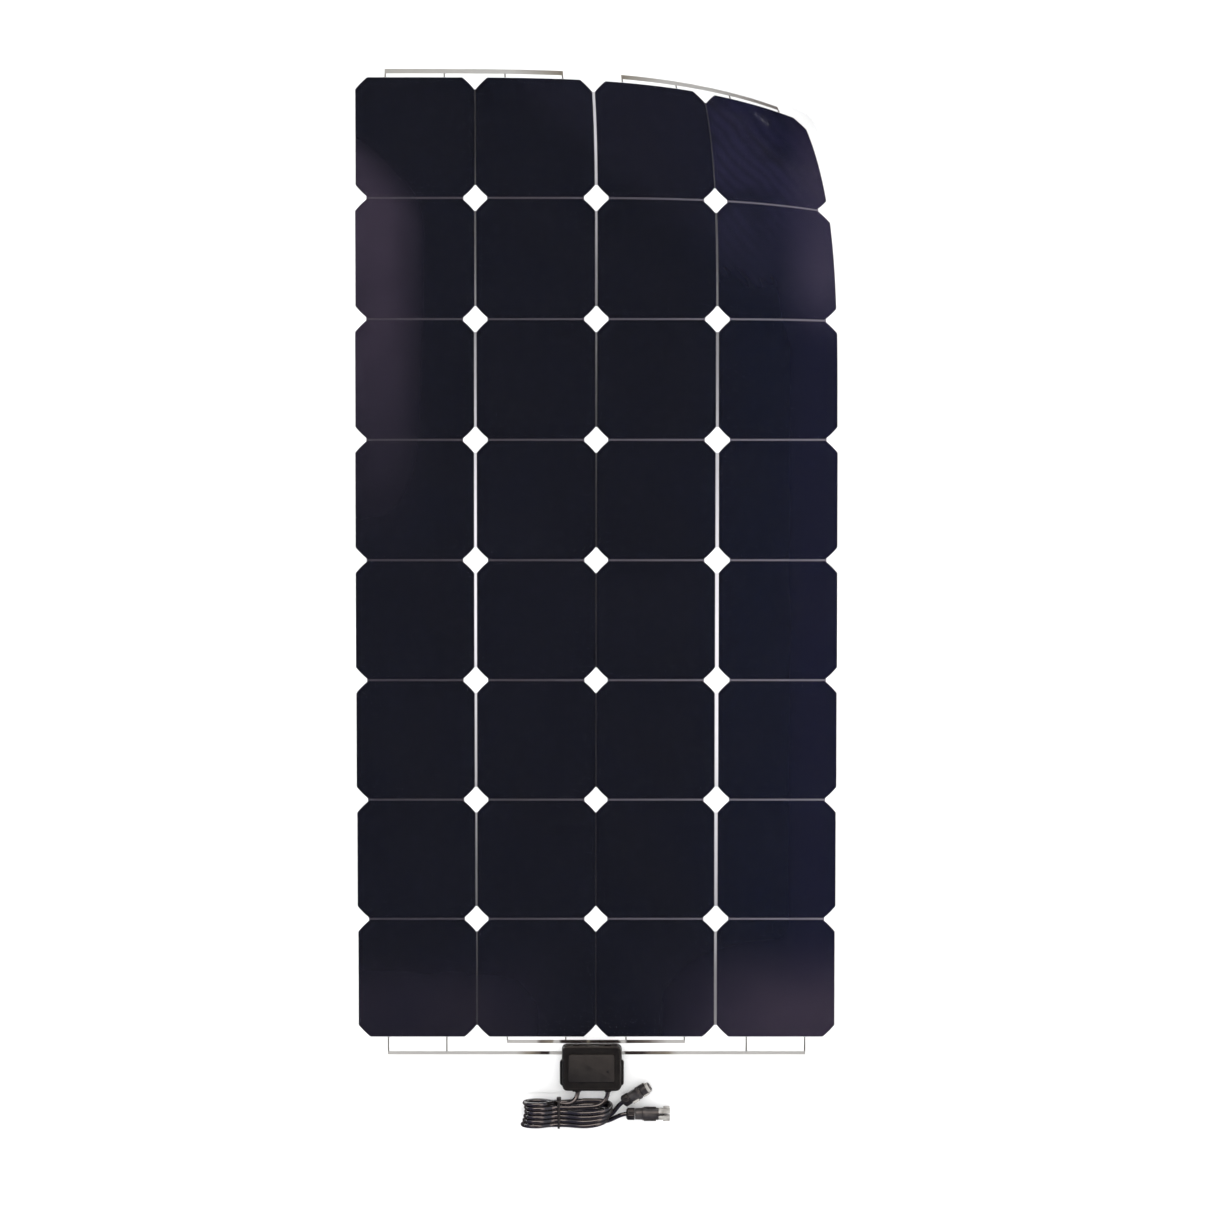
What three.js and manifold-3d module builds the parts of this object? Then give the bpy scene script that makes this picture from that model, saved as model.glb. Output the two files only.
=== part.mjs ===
// A flexible solar sheet lying on a surface with one corner curled up, its junction box on the
// front, and its two leads folded into a tied hank just past the lower edge.
// Units are millimetres. X is the sheet's width, Y its length, Z points up from the surface.
// The origin is on the surface, under the middle of the sheet as it is cut, flat.
import * as THREE from 'three';
import { mergeVertices } from 'three/addons/utils/BufferGeometryUtils.js';
import Module from 'manifold-3d';

const wasm = await Module();
wasm.setup();

const DEG = Math.PI / 180;
const GAP = 0.3;

// The laminate: a back sheet, the cells and ribbons, and a clear front film.
const SHEET = { width: 546, length: 1096, cornerRadius: 8 };
const LAYER = { backTop: 1.0, cellBottom: 1.3, cellTop: 1.5, filmBottom: 1.8, filmTop: 2.1 };
const CELL = { size: 125, pitch: 127, waferRadius: 80, columns: 4, rows: 8, centreY: 19 };
const TAB = { fromCentre: 31, width: 1.4 };

// The curled corner: the sheet rolls up round a cylinder, turning evenly past its first line.
const CURL = { direction: 50 * DEG, radius: 230, turn: 77.4 * DEG, hinges: 5, facets: 4, slit: 0.8 };

// The junction box, its lid and what it holds.
const BOX = { x: -5, y: -520, width: 62, depth: 48, corner: 5, wall: 2.5, floorTop: 4.2, rimTop: 12.6 };
const EAR = { width: 68, depth: 28, y: -526, top: 5.0 };
const LID = { bottom: 13.7, shoulder: 15.7, top: 17.6, panelWidth: 48, panelDepth: 29, lipWall: 1.5 };
const SLOT = { width: 10, depth: 5, fromCentre: 14 };
const slotY = BOX.y + 14.5;
const RELIEF = { flange: 3.9, flangeDepth: 2, neck: 2.9, collar: 3.8, tip: 2.7, out: 2.6 };

// The leads, the hank that they are folded into, and the tie round its waist.
const LEAD = { radius: 2.3, height: 8.4, exits: { left: -20, right: 12 } };
const HANK = { near: -554, strands: 6, foldRadius: 13.8, leftTip: -81, noseStart: 10, noseEnd: 25.5, noseHeight: 11 };
const TIE = { x: -40, width: 4, thickness: 1.4, pinch: 9.3, spread: 17 };

const material = (color, roughness, metalness = 0) =>
  new THREE.MeshStandardMaterial({ color, roughness, metalness });
const MATERIAL = {
  backSheet: material(0xf2f2f0, 0.6),
  film: new THREE.MeshStandardMaterial({ color: 0xffffff, roughness: 0.2, transparent: true, opacity: 0.15 }),
  cell: material(0x181924, 0.25),
  ribbon: material(0xb9b2a6, 0.35, 0.9),
  boxPlastic: material(0x1d1d1a, 0.45),
  rubber: material(0x161616, 0.7),
  tinnedCopper: material(0xb8b8b4, 0.3, 1),
  diode: material(0x101010, 0.5),
  leadJacket: material(0x17120f, 0.35),
  connector: material(0x232326, 0.5),
};

const group = new THREE.Group();

function add(name, geometry, look) {
  const mesh = new THREE.Mesh(geometry, look);
  mesh.name = name;
  group.add(mesh);
}

// ---------- Making closed solids ----------

// The same surface with only positions, its shared corners merged and its empty triangles dropped.
function closed(geometry) {
  const bare = new THREE.BufferGeometry();
  const flat = geometry.index ? geometry.toNonIndexed() : geometry;
  bare.setAttribute('position', flat.getAttribute('position').clone());
  const merged = mergeVertices(bare, 1e-4);
  const old = merged.index.array;
  const kept = [];
  for (let i = 0; i < old.length; i += 3) {
    const [a, b, c] = [old[i], old[i + 1], old[i + 2]];
    if (a !== b && b !== c && c !== a) kept.push(a, b, c);
  }
  merged.setIndex(kept);
  return merged;
}

function solid(geometry) {
  const clean = closed(geometry);
  return new wasm.Manifold(
    new wasm.Mesh({
      numProp: 3,
      vertProperties: new Float32Array(clean.getAttribute('position').array),
      triVerts: new Uint32Array(clean.index.array),
    }),
  );
}

function geometryOf(made) {
  const mesh = made.getMesh();
  const geometry = new THREE.BufferGeometry();
  geometry.setAttribute('position', new THREE.BufferAttribute(mesh.vertProperties, mesh.numProp));
  geometry.setIndex(new THREE.BufferAttribute(mesh.triVerts, 1));
  return geometry;
}

function join(first, ...others) {
  return geometryOf(others.reduce((made, g) => made.add(solid(g)), solid(first)));
}

function cut(first, ...others) {
  return geometryOf(others.reduce((made, g) => made.subtract(solid(g)), solid(first)));
}

// A rectangle with round corners, anticlockwise.
function rounded(width, depth, radius, x = 0, y = 0, steps = 4) {
  const points = [];
  for (let corner = 0; corner < 4; corner++) {
    const cx = x + (corner === 0 || corner === 3 ? 1 : -1) * (width / 2 - radius);
    const cy = y + (corner < 2 ? 1 : -1) * (depth / 2 - radius);
    for (let i = 0; i <= steps; i++) {
      const angle = (corner + i / steps) * 90 * DEG;
      points.push(new THREE.Vector2(cx + radius * Math.cos(angle), cy + radius * Math.sin(angle)));
    }
  }
  return points;
}

// A flat plate of that outline between two heights.
function plate(points, low, high, hole) {
  const shape = new THREE.Shape(points);
  if (hole) shape.holes.push(new THREE.Path(hole));
  const geometry = new THREE.ExtrudeGeometry(shape, { depth: high - low, bevelEnabled: false });
  return geometry.translate(0, 0, low);
}

function block(x0, x1, y0, y1, z0, z1) {
  const geometry = new THREE.BoxGeometry(x1 - x0, y1 - y0, z1 - z0);
  return geometry.translate((x0 + x1) / 2, (y0 + y1) / 2, (z0 + z1) / 2);
}

// A closed skin through outlines of equal point counts, lowest first.
function loft(rings) {
  const count = rings[0].points.length;
  const position = rings.flatMap(({ points, z }) => points.flatMap((p) => [p.x, p.y, z]));
  const index = [];
  for (let ring = 0; ring + 1 < rings.length; ring++) {
    for (let i = 0; i < count; i++) {
      const a = ring * count + i;
      const b = ring * count + ((i + 1) % count);
      index.push(a, b, b + count, a, b + count, a + count);
    }
  }
  const top = (rings.length - 1) * count;
  for (const [a, b, c] of THREE.ShapeUtils.triangulateShape(rings[0].points, [])) {
    index.push(c, b, a, top + a, top + b, top + c);
  }
  const geometry = new THREE.BufferGeometry();
  geometry.setAttribute('position', new THREE.Float32BufferAttribute(position, 3));
  geometry.setIndex(index);
  return geometry;
}

// A block with round vertical corners whose top edge is rolled over by edge.
function rolledBlock(width, depth, corner, low, high, edge, x, y) {
  const ring = (inset, z) => ({
    points: rounded(width - 2 * inset, depth - 2 * inset, corner - inset * 0.5, x, y),
    z,
  });
  return loft([ring(0, low), ring(0, high - edge), ring(edge * 0.3, high - edge * 0.3), ring(edge, high)]);
}

// A turned solid whose axis is +X: the profile is (radius, distance along the axis).
function turned(profile, sides) {
  const points = profile.map(([radius, along]) => new THREE.Vector2(radius, along));
  const geometry = new THREE.LatheGeometry([...points, points[0].clone()], sides);
  return geometry.rotateZ(-90 * DEG);
}

// ---------- The curl ----------

const along = { x: Math.cos(CURL.direction), y: Math.sin(CURL.direction) };
const reachOf = (x, y) => x * along.x + y * along.y;
const cornerReach = reachOf(SHEET.width / 2, SHEET.length / 2);
const curlStart = cornerReach - CURL.radius * CURL.turn;
const facetTurn = CURL.turn / (CURL.hinges * CURL.facets);
const facetReach = CURL.radius * facetTurn;
const hingeReach = (k) => curlStart + (k - 0.5) * CURL.facets * facetReach;

// Cuts every triangle that crosses the line at that reach in two or three.
function splitAt(triangles, reach) {
  const tolerance = 1e-6;
  const made = [];
  for (const triangle of triangles) {
    const side = triangle.map((p) => reachOf(p.x, p.y) - reach);
    if (!side.some((d) => d > tolerance) || !side.some((d) => d < -tolerance)) {
      made.push(triangle);
      continue;
    }
    const low = [];
    const high = [];
    for (let i = 0; i < 3; i++) {
      const j = (i + 1) % 3;
      if (side[i] <= tolerance) low.push(triangle[i]);
      if (side[i] >= -tolerance) high.push(triangle[i]);
      if (Math.min(side[i], side[j]) < -tolerance && Math.max(side[i], side[j]) > tolerance) {
        const [from, to] = side[i] < side[j] ? [i, j] : [j, i];
        const crossing = triangle[from].clone();
        crossing.lerp(triangle[to], side[from] / (side[from] - side[to]));
        low.push(crossing);
        high.push(crossing);
      }
    }
    for (const polygon of [low, high]) {
      for (let i = 1; i + 1 < polygon.length; i++) made.push([polygon[0], polygon[i], polygon[i + 1]]);
    }
  }
  return made;
}

// Where a point of the flat sheet lies once the corner is curled up.
function curledPoint(p) {
  const reach = reachOf(p.x, p.y);
  if (reach <= curlStart) return p.clone();
  const step = (reach - curlStart) / facetReach;
  const facet = Math.floor(step + 1e-9);
  const share = step - facet;
  const station = (i) => {
    const arm = CURL.radius - p.z;
    return [curlStart + arm * Math.sin(i * facetTurn), CURL.radius - arm * Math.cos(i * facetTurn)];
  };
  const [from, to] = [station(facet), station(facet + 1)];
  const newReach = from[0] + (to[0] - from[0]) * share;
  const height = from[1] + (to[1] - from[1]) * share;
  const shift = newReach - reach;
  return new THREE.Vector3(p.x + shift * along.x, p.y + shift * along.y, height);
}

// Any flat solid, curled with the sheet.
function curled(geometry) {
  const flat = geometry.index ? geometry.toNonIndexed() : geometry;
  const position = flat.getAttribute('position');
  let triangles = [];
  for (let i = 0; i < position.count; i += 3) {
    triangles.push([0, 1, 2].map((k) => new THREE.Vector3().fromBufferAttribute(position, i + k)));
  }
  for (let i = 0; i < CURL.hinges * CURL.facets; i++) {
    triangles = splitAt(triangles, curlStart + i * facetReach);
  }
  const bent = triangles.flat().flatMap((p) => curledPoint(p).toArray());
  const made = new THREE.BufferGeometry();
  made.setAttribute('position', new THREE.Float32BufferAttribute(bent, 3));
  return closed(made);
}

// The part of a convex outline whose reach lies between two values.
function clipped(points, low, high) {
  const keepBelow = (outline, limit, sign) =>
    outline.flatMap((p, i) => {
      const q = outline[(i + 1) % outline.length];
      const a = sign * (reachOf(p.x, p.y) - limit);
      const b = sign * (reachOf(q.x, q.y) - limit);
      const kept = a <= 0 ? [p] : [];
      if ((a < 0 && b > 0) || (a > 0 && b < 0)) kept.push(p.clone().lerp(q, a / (a - b)));
      return kept;
    });
  return keepBelow(keepBelow(points, high, 1), low, -1);
}

// A plate of a convex outline, curled with the sheet: one flat facet between each pair of lines.
function curledPlate(outline, low, high) {
  const lines = [-cornerReach - 1];
  for (let i = 0; i < CURL.hinges * CURL.facets; i++) lines.push(curlStart + i * facetReach);
  lines.push(cornerReach + 1);
  const corners = [];
  for (let i = 0; i + 1 < lines.length; i++) {
    const strip = clipped(outline, lines[i], lines[i + 1]);
    const top = strip.map((p) => curledPoint(new THREE.Vector3(p.x, p.y, high)));
    const bottom = strip.map((p) => curledPoint(new THREE.Vector3(p.x, p.y, low)));
    for (let k = 1; k + 1 < strip.length; k++) {
      corners.push(top[0], top[k], top[k + 1], bottom[0], bottom[k + 1], bottom[k]);
    }
    strip.forEach((p, k) => {
      const next = (k + 1) % strip.length;
      const onLine = (point, line) => Math.abs(reachOf(point.x, point.y) - line) < 1e-6;
      const shared = [lines[i], lines[i + 1]].some((line) => onLine(p, line) && onLine(strip[next], line));
      if (!shared) corners.push(bottom[k], bottom[next], top[next], bottom[k], top[next], top[k]);
    });
  }
  const made = new THREE.BufferGeometry();
  made.setAttribute('position', new THREE.Float32BufferAttribute(corners.flatMap((p) => p.toArray()), 3));
  return closed(made);
}

// ---------- The laminate ----------

function makeBackSheet() {
  const outline = rounded(SHEET.width, SHEET.length, SHEET.cornerRadius);
  for (let k = 0; k <= CURL.hinges; k++) {
    const low = k === 0 ? -Infinity : hingeReach(k) + CURL.slit / 2;
    const high = k === CURL.hinges ? Infinity : hingeReach(k + 1) - CURL.slit / 2;
    const bounded = clipped(outline, Math.max(low, -cornerReach), Math.min(high, cornerReach));
    const name = k === 0 ? 'back_sheet' : `back_sheet_curl_${k}`;
    add(name, curledPlate(bounded, 0, LAYER.backTop), MATERIAL.backSheet);
  }
}

// The film has a window under the box, where the ribbons come up to the terminals.
function makeFrontFilm() {
  const outline = rounded(SHEET.width - 2, SHEET.length - 2, SHEET.cornerRadius - 1);
  const film = curledPlate(outline, LAYER.filmBottom, LAYER.filmTop);
  const window = plate(rounded(44, 12, 2, BOX.x, slotY, 2), 0, LAYER.filmTop + 1);
  add('front_film', cut(film, window), MATERIAL.film);
}

// The strings of cells lean a little, so the gaps between columns widen and narrow down the sheet.
function columnX(column, row) {
  const down = row / (CELL.rows - 1);
  const gaps = [
    1.3 + 1.7 * Math.sin(Math.PI * down),
    1.0 + 2.0 * (1 - down) ** 2,
    1.3 + 2.6 * Math.sin(0.8 * Math.PI * down),
  ];
  const total = gaps.reduce((sum, gap) => sum + gap, 0);
  const before = gaps.slice(0, column).reduce((sum, gap) => sum + gap, 0);
  return (column - 1.5) * CELL.size + before - total / 2;
}

const rowY = (row) => CELL.centreY + (3.5 - row) * CELL.pitch;

// A square cut from a round wafer: its corners are arcs of the wafer's edge.
function cellOutline(x, y) {
  const first = Math.acos(CELL.size / 2 / CELL.waferRadius);
  const arc = 90 * DEG - 2 * first;
  const steps = 4;
  const points = [];
  for (let corner = 0; corner < 4; corner++) {
    for (let i = 0; i <= steps; i++) {
      const angle = corner * 90 * DEG + first + (arc * i) / steps;
      const px = x + CELL.waferRadius * Math.cos(angle);
      const py = y + CELL.waferRadius * Math.sin(angle);
      points.push(new THREE.Vector2(px, py));
    }
  }
  return points;
}

function makeCells() {
  for (let row = 0; row < CELL.rows; row++) {
    for (let column = 0; column < CELL.columns; column++) {
      const outline = cellOutline(columnX(column, row), rowY(row));
      const geometry = curledPlate(outline, LAYER.cellBottom, LAYER.cellTop);
      add(`cell_r${row + 1}c${column + 1}`, geometry, MATERIAL.cell);
    }
  }
}

// A flat ribbon from x0 to x1 with tabs that reach from it to the cells' edge at tabEnd.
function ribbonOutline(x0, x1, y, width, tabs, tabEnd) {
  const up = tabEnd > y ? 1 : -1;
  const near = y + (up * width) / 2;
  const far = y - (up * width) / 2;
  const points = [new THREE.Vector2(x0, far), new THREE.Vector2(x1, far), new THREE.Vector2(x1, near)];
  for (const x of [...tabs].sort((a, b) => b - a)) {
    const [left, right] = [Math.max(x - TAB.width / 2, x0), Math.min(x + TAB.width / 2, x1)];
    points.push(new THREE.Vector2(right, near), new THREE.Vector2(right, tabEnd));
    points.push(new THREE.Vector2(left, tabEnd), new THREE.Vector2(left, near));
  }
  points.push(new THREE.Vector2(x0, near));
  return points.filter((p, i) => i === 0 || p.distanceTo(points[i - 1]) > 1e-6);
}

function makeRibbons() {
  const columnTabs = (column, row) =>
    [-1, 1].map((side) => columnX(column, row) + side * TAB.fromCentre);
  const last = CELL.rows - 1;
  const topEdge = rowY(0) + CELL.size / 2 + 0.4;
  const bottomEdge = rowY(last) - CELL.size / 2 - 0.4;
  const top = { y: topEdge + 6, width: 5 };
  const inner = { y: bottomEdge - 4.8, width: 3.6 };
  const outer = { y: bottomEdge - 17, width: 3.6 };
  const ribbon = (name, place, tabs, x0, x1, edge) => {
    const outline = ribbonOutline(x0, x1, place.y, place.width, tabs, edge);
    add(name, curled(plate(outline, LAYER.cellBottom, LAYER.cellTop)), MATERIAL.ribbon);
  };
  const overhang = TAB.width / 2;
  const across = (name, place, columns, row, edge) => {
    const tabs = columns.flatMap((column) => columnTabs(column, row));
    ribbon(name, place, tabs, Math.min(...tabs) - overhang, Math.max(...tabs) + overhang, edge);
  };
  across('ribbon_top_left', top, [0, 1], 0, topEdge);
  across('ribbon_top_right', top, [2, 3], 0, topEdge);
  across('ribbon_bottom_centre', inner, [1, 2], last, bottomEdge);
  const left = columnTabs(0, last);
  const right = columnTabs(3, last);
  const underBox = SLOT.fromCentre - SLOT.width / 2 + 1;
  ribbon('ribbon_bottom_left', outer, left, Math.min(...left) - overhang, BOX.x - underBox, bottomEdge);
  ribbon('ribbon_bottom_right', outer, right, BOX.x + underBox, Math.max(...right) + overhang, bottomEdge);
}

// ---------- The junction box ----------

const baseBottom = LAYER.filmTop + GAP;

function makeBoxBase() {
  const body = rolledBlock(BOX.width, BOX.depth, BOX.corner, baseBottom, BOX.rimTop, 0.6, BOX.x, BOX.y);
  const ears = rolledBlock(EAR.width, EAR.depth, 3, baseBottom, EAR.top, 0.8, BOX.x, EAR.y);
  const inside = [BOX.width - 2 * BOX.wall, BOX.depth - 2 * BOX.wall];
  const cavity = plate(rounded(...inside, BOX.corner - 2, BOX.x, BOX.y), BOX.floorTop, BOX.rimTop + 1);
  const slots = [-1, 1].map((side) =>
    plate(rounded(SLOT.width, SLOT.depth, 1, BOX.x + side * SLOT.fromCentre, slotY, 2), 0, BOX.floorTop + 1),
  );
  const holes = Object.values(LEAD.exits).map((x) => {
    const hole = new THREE.CylinderGeometry(RELIEF.neck + GAP, RELIEF.neck + GAP, 3 * BOX.wall, 20);
    return hole.translate(x, BOX.y - BOX.depth / 2, LEAD.height);
  });
  const shell = join(body, ears);
  add('box_base', cut(shell, cavity, ...slots, ...holes), MATERIAL.boxPlastic);
}

function makeLid() {
  const { x, y } = BOX;
  const cover = rolledBlock(BOX.width, BOX.depth, BOX.corner, LID.bottom, LID.shoulder, 1.2, x, y);
  const panel = rolledBlock(LID.panelWidth, LID.panelDepth, 3, LID.shoulder - 1, LID.top, 1.0, x, y + 0.5);
  const lipWidth = BOX.width - 2 * BOX.wall - 0.8;
  const lipDepth = BOX.depth - 2 * BOX.wall - 0.8;
  const lip = plate(
    rounded(lipWidth, lipDepth, BOX.corner - 2.4, x, y),
    BOX.rimTop + 0.05,
    LID.bottom + 0.5,
    rounded(lipWidth - 2 * LID.lipWall, lipDepth - 2 * LID.lipWall, 1.5, x, y),
  );
  add('box_lid', join(cover, panel, lip), MATERIAL.boxPlastic);
}

function makeGasket() {
  const outer = rounded(BOX.width - 2, BOX.depth - 2, BOX.corner - 1, BOX.x, BOX.y);
  const inner = rounded(BOX.width - 4.2, BOX.depth - 4.2, BOX.corner - 2, BOX.x, BOX.y);
  add('box_gasket', plate(outer, BOX.rimTop + GAP, LID.bottom - GAP, inner), MATERIAL.rubber);
}

const rail = { width: 8, low: BOX.floorTop + GAP, high: BOX.floorTop + GAP + 1.5, length: 22 };

// Each rail has a foot that drops through the floor to the ribbon below.
function makeTerminals() {
  for (const [side, name] of [[-1, 'left'], [1, 'right']]) {
    const x = BOX.x + side * SLOT.fromCentre;
    const halfRail = rail.width / 2;
    const bar = block(x - halfRail, x + halfRail, slotY + 2 - rail.length, slotY + 2, rail.low, rail.high);
    const foot = block(x - 3, x + 3, slotY - 0.8, slotY + 0.8, LAYER.cellTop + GAP, rail.high);
    const clamp = block(x - 3, x + 3, slotY - 18, slotY - 12, rail.low, rail.high + 2.2);
    add(`terminal_${name}`, join(bar, foot, clamp), MATERIAL.tinnedCopper);
  }
}

function makeDiode() {
  const halfLead = SLOT.fromCentre;
  const wire = 0.6;
  const profile = [
    [0, -halfLead], [wire, -halfLead], [wire, -4.6], [2.6, -4.6],
    [2.6, 4.6], [wire, 4.6], [wire, halfLead], [0, halfLead],
  ];
  const geometry = turned(profile, 12).translate(BOX.x, slotY - 6.5, rail.high + wire + GAP);
  add('bypass_diode', geometry, MATERIAL.diode);
}

// A rubber bush through the box wall, with a flange inside it and a short taper outside.
function makeStrainReliefs() {
  const insideWall = -BOX.wall - GAP;
  const profile = [
    [0, insideWall - RELIEF.flangeDepth], [RELIEF.flange, insideWall - RELIEF.flangeDepth],
    [RELIEF.flange, insideWall], [RELIEF.neck, insideWall], [RELIEF.neck, GAP],
    [RELIEF.collar, 2 * GAP], [RELIEF.tip, RELIEF.out], [0, RELIEF.out],
  ];
  for (const [name, x] of Object.entries(LEAD.exits)) {
    const geometry = turned(profile, 16).rotateZ(-90 * DEG);
    geometry.translate(x, BOX.y - BOX.depth / 2, LEAD.height);
    add(`strain_relief_${name}`, geometry, MATERIAL.rubber);
  }
}

// ---------- Leads, hank and tie ----------

// Where each connector starts, its heading in degrees from +X, and how far its nose points up.
const PLUG_PLACE = [28, -557, 7.4, 31.4, 7];
const SOCKET_PLACE = [31.6, -569.8, 7.4, 0, 0];

function place(geometry, x, y, z, heading, pitch) {
  geometry.rotateY(-pitch * DEG);
  geometry.rotateZ(heading * DEG);
  return geometry.translate(x, y, z);
}

const hankMiddle = HANK.foldRadius + LEAD.radius;
const hankWidth = HANK.strands * 2 * LEAD.radius;
const waist = (x) => TIE.pinch * Math.exp(-(((x - TIE.x) / TIE.spread) ** 2));

// The short stretch of each lead between its strain relief and the hank.
function makeLeadStarts() {
  const start = BOX.y - BOX.depth / 2 - RELIEF.out - GAP;
  const section = new THREE.Shape();
  section.absarc(0, 0, LEAD.radius, 0, 2 * Math.PI);
  for (const [name, x] of Object.entries(LEAD.exits)) {
    const route = new THREE.CatmullRomCurve3([
      new THREE.Vector3(x, start, LEAD.height),
      new THREE.Vector3(x, start - 1, LEAD.height),
      new THREE.Vector3(x - 0.5, start - 3, LEAD.height + 0.2),
      new THREE.Vector3(x - 1.3, start - 4.8, LEAD.height + 0.5),
    ]);
    const options = { extrudePath: route, steps: 3, curveSegments: 5, bevelEnabled: false };
    add(`lead_${name}`, new THREE.ExtrudeGeometry(section, options), MATERIAL.leadJacket);
  }
}

// The hank seen from its side: round at the left end, waisted at the tie, and falling to a nose at
// the right end. The last stretch of each lead runs from the nose to its connector.
function makeHank() {
  const centre = HANK.leftTip + hankMiddle;
  const outline = [];
  for (let i = 0; i <= 10; i++) {
    const angle = (-90 - 18 * i) * DEG;
    const lift = (hankMiddle - waist(centre)) * Math.sin(angle);
    outline.push(new THREE.Vector2(centre + hankMiddle * Math.cos(angle), hankMiddle + lift));
  }
  const spans = 9;
  const stations = [];
  for (let i = 1; i <= spans; i++) stations.push(centre + ((HANK.noseStart - centre) * i) / spans);
  for (const x of stations) outline.push(new THREE.Vector2(x, 2 * hankMiddle - waist(x)));
  const noseSteps = 5;
  for (let i = 1; i <= noseSteps; i++) {
    const share = i / noseSteps;
    const drop = ((1 - Math.cos(Math.PI * share)) / 2) * (2 * hankMiddle - HANK.noseHeight);
    const x = HANK.noseStart + (HANK.noseEnd - HANK.noseStart) * share;
    outline.push(new THREE.Vector2(x, 2 * hankMiddle - drop));
  }
  outline.push(new THREE.Vector2(HANK.noseEnd, 1));
  for (const x of stations.reverse()) outline.push(new THREE.Vector2(x, waist(x)));
  const bundle = new THREE.ExtrudeGeometry(new THREE.Shape(outline), { depth: hankWidth, bevelEnabled: false });
  bundle.rotateX(90 * DEG).translate(0, HANK.near, 0);
  const tails = [PLUG_PLACE, SOCKET_PLACE].map((at) =>
    place(turned([[0, -8], [LEAD.radius, -8], [LEAD.radius, -GAP], [0, -GAP]], 10), ...at),
  );
  add('lead_hank', join(bundle, ...tails), MATERIAL.leadJacket);
}

function makeTie() {
  const insideWidth = hankWidth + 2 * 0.4;
  const insideHeight = 2 * (hankMiddle - TIE.pinch) + 2.2;
  const outer = rounded(insideWidth + 2 * TIE.thickness, insideHeight + 2 * TIE.thickness, 3);
  const inner = rounded(insideWidth, insideHeight, 0.6);
  const strap = plate(outer, -TIE.width / 2, TIE.width / 2, inner);
  const headY = insideWidth / 2 + TIE.thickness;
  const head = block(headY - 0.5, headY + 3, 1, 7, -TIE.width / 2 - 1, TIE.width / 2 + 1);
  const geometry = join(strap, head);
  // The strap's own X becomes the row's Y, its Y the row's Z, and its Z the row's X.
  geometry.applyMatrix4(new THREE.Matrix4().set(0, 0, 1, 0, 1, 0, 0, 0, 0, 1, 0, 0, 0, 0, 0, 1));
  add('cable_tie', geometry.translate(TIE.x, HANK.near - hankWidth / 2, hankMiddle), MATERIAL.connector);
}

// ---------- Connectors ----------

const NUT = { length: 9, radius: 6.5, flutes: 12, bore: 3.0 };

// A union nut: a fluted ring that screws over the back of its connector.
function nutGeometry() {
  const outline = [];
  for (let i = 0; i < NUT.flutes * 4; i++) {
    const depth = i % 4 < 2 ? 0 : 0.45;
    const angle = (i / (NUT.flutes * 4)) * 360 * DEG;
    const radius = NUT.radius - depth;
    outline.push(new THREE.Vector2(radius * Math.cos(angle), radius * Math.sin(angle)));
  }
  const hole = new THREE.Path();
  hole.absarc(0, 0, NUT.bore, 0, 2 * Math.PI, true);
  const shape = new THREE.Shape(outline);
  shape.holes.push(hole);
  const ring = new THREE.ExtrudeGeometry(shape, { depth: NUT.length, curveSegments: 10, bevelEnabled: false });
  return ring.rotateY(90 * DEG);
}

// The plug: a stepped body with a solid contact sleeve in front.
function plugBody() {
  const start = NUT.length + GAP;
  const barrel = turned(
    [
      [0, start], [6.0, start], [6.2, start + 0.6], [6.2, start + 9], [6.9, start + 9.6],
      [6.9, start + 12], [5.4, start + 12.8], [5.4, start + 22], [4.6, start + 24.5], [0, start + 24.5],
    ],
    20,
  );
  const ribs = [-1, 1].map((side) => block(start + 13, start + 20, side * 5.9 - 1, side * 5.9 + 1, -1.8, 1.8));
  return join(barrel, ...ribs);
}

const socket = { radius: 6.4, bore: 5.1, depth: 15, length: 37 };

// The socket: an open sleeve in front, flanked by two latch arms.
function socketBody() {
  const start = NUT.length + GAP;
  const end = start + socket.length;
  const sleeve = turned(
    [
      [0, start], [6.0, start], [6.2, start + 0.6], [6.2, start + 8], [6.9, start + 8.6],
      [6.9, start + 12], [socket.radius, start + 12.6], [socket.radius, end - 0.6],
      [socket.radius - 0.6, end], [socket.bore, end], [socket.bore, end - socket.depth],
      [0, end - socket.depth],
    ],
    20,
  );
  const arms = [-1, 1].map((side) => {
    const outside = side * (socket.radius + 0.9);
    const inside = side * (socket.radius - 0.5);
    const y0 = Math.min(outside, inside);
    const y1 = Math.max(outside, inside);
    return block(end - 17, end - 3, y0, y1, -2, 2);
  });
  return join(sleeve, ...arms);
}

function makeConnectors() {
  add('plug_nut', place(nutGeometry(), ...PLUG_PLACE), MATERIAL.connector);
  add('plug_body', place(plugBody(), ...PLUG_PLACE), MATERIAL.connector);
  add('socket_nut', place(nutGeometry(), ...SOCKET_PLACE), MATERIAL.connector);
  add('socket_body', place(socketBody(), ...SOCKET_PLACE), MATERIAL.connector);
}

makeBackSheet();
makeFrontFilm();
makeCells();
makeRibbons();
makeBoxBase();
makeGasket();
makeLid();
makeTerminals();
makeDiode();
makeStrainReliefs();
makeLeadStarts();
makeHank();
makeTie();
makeConnectors();

export default group;
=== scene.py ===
import math

import bmesh
import bpy
from mathutils import Euler, Matrix, Vector


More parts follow.
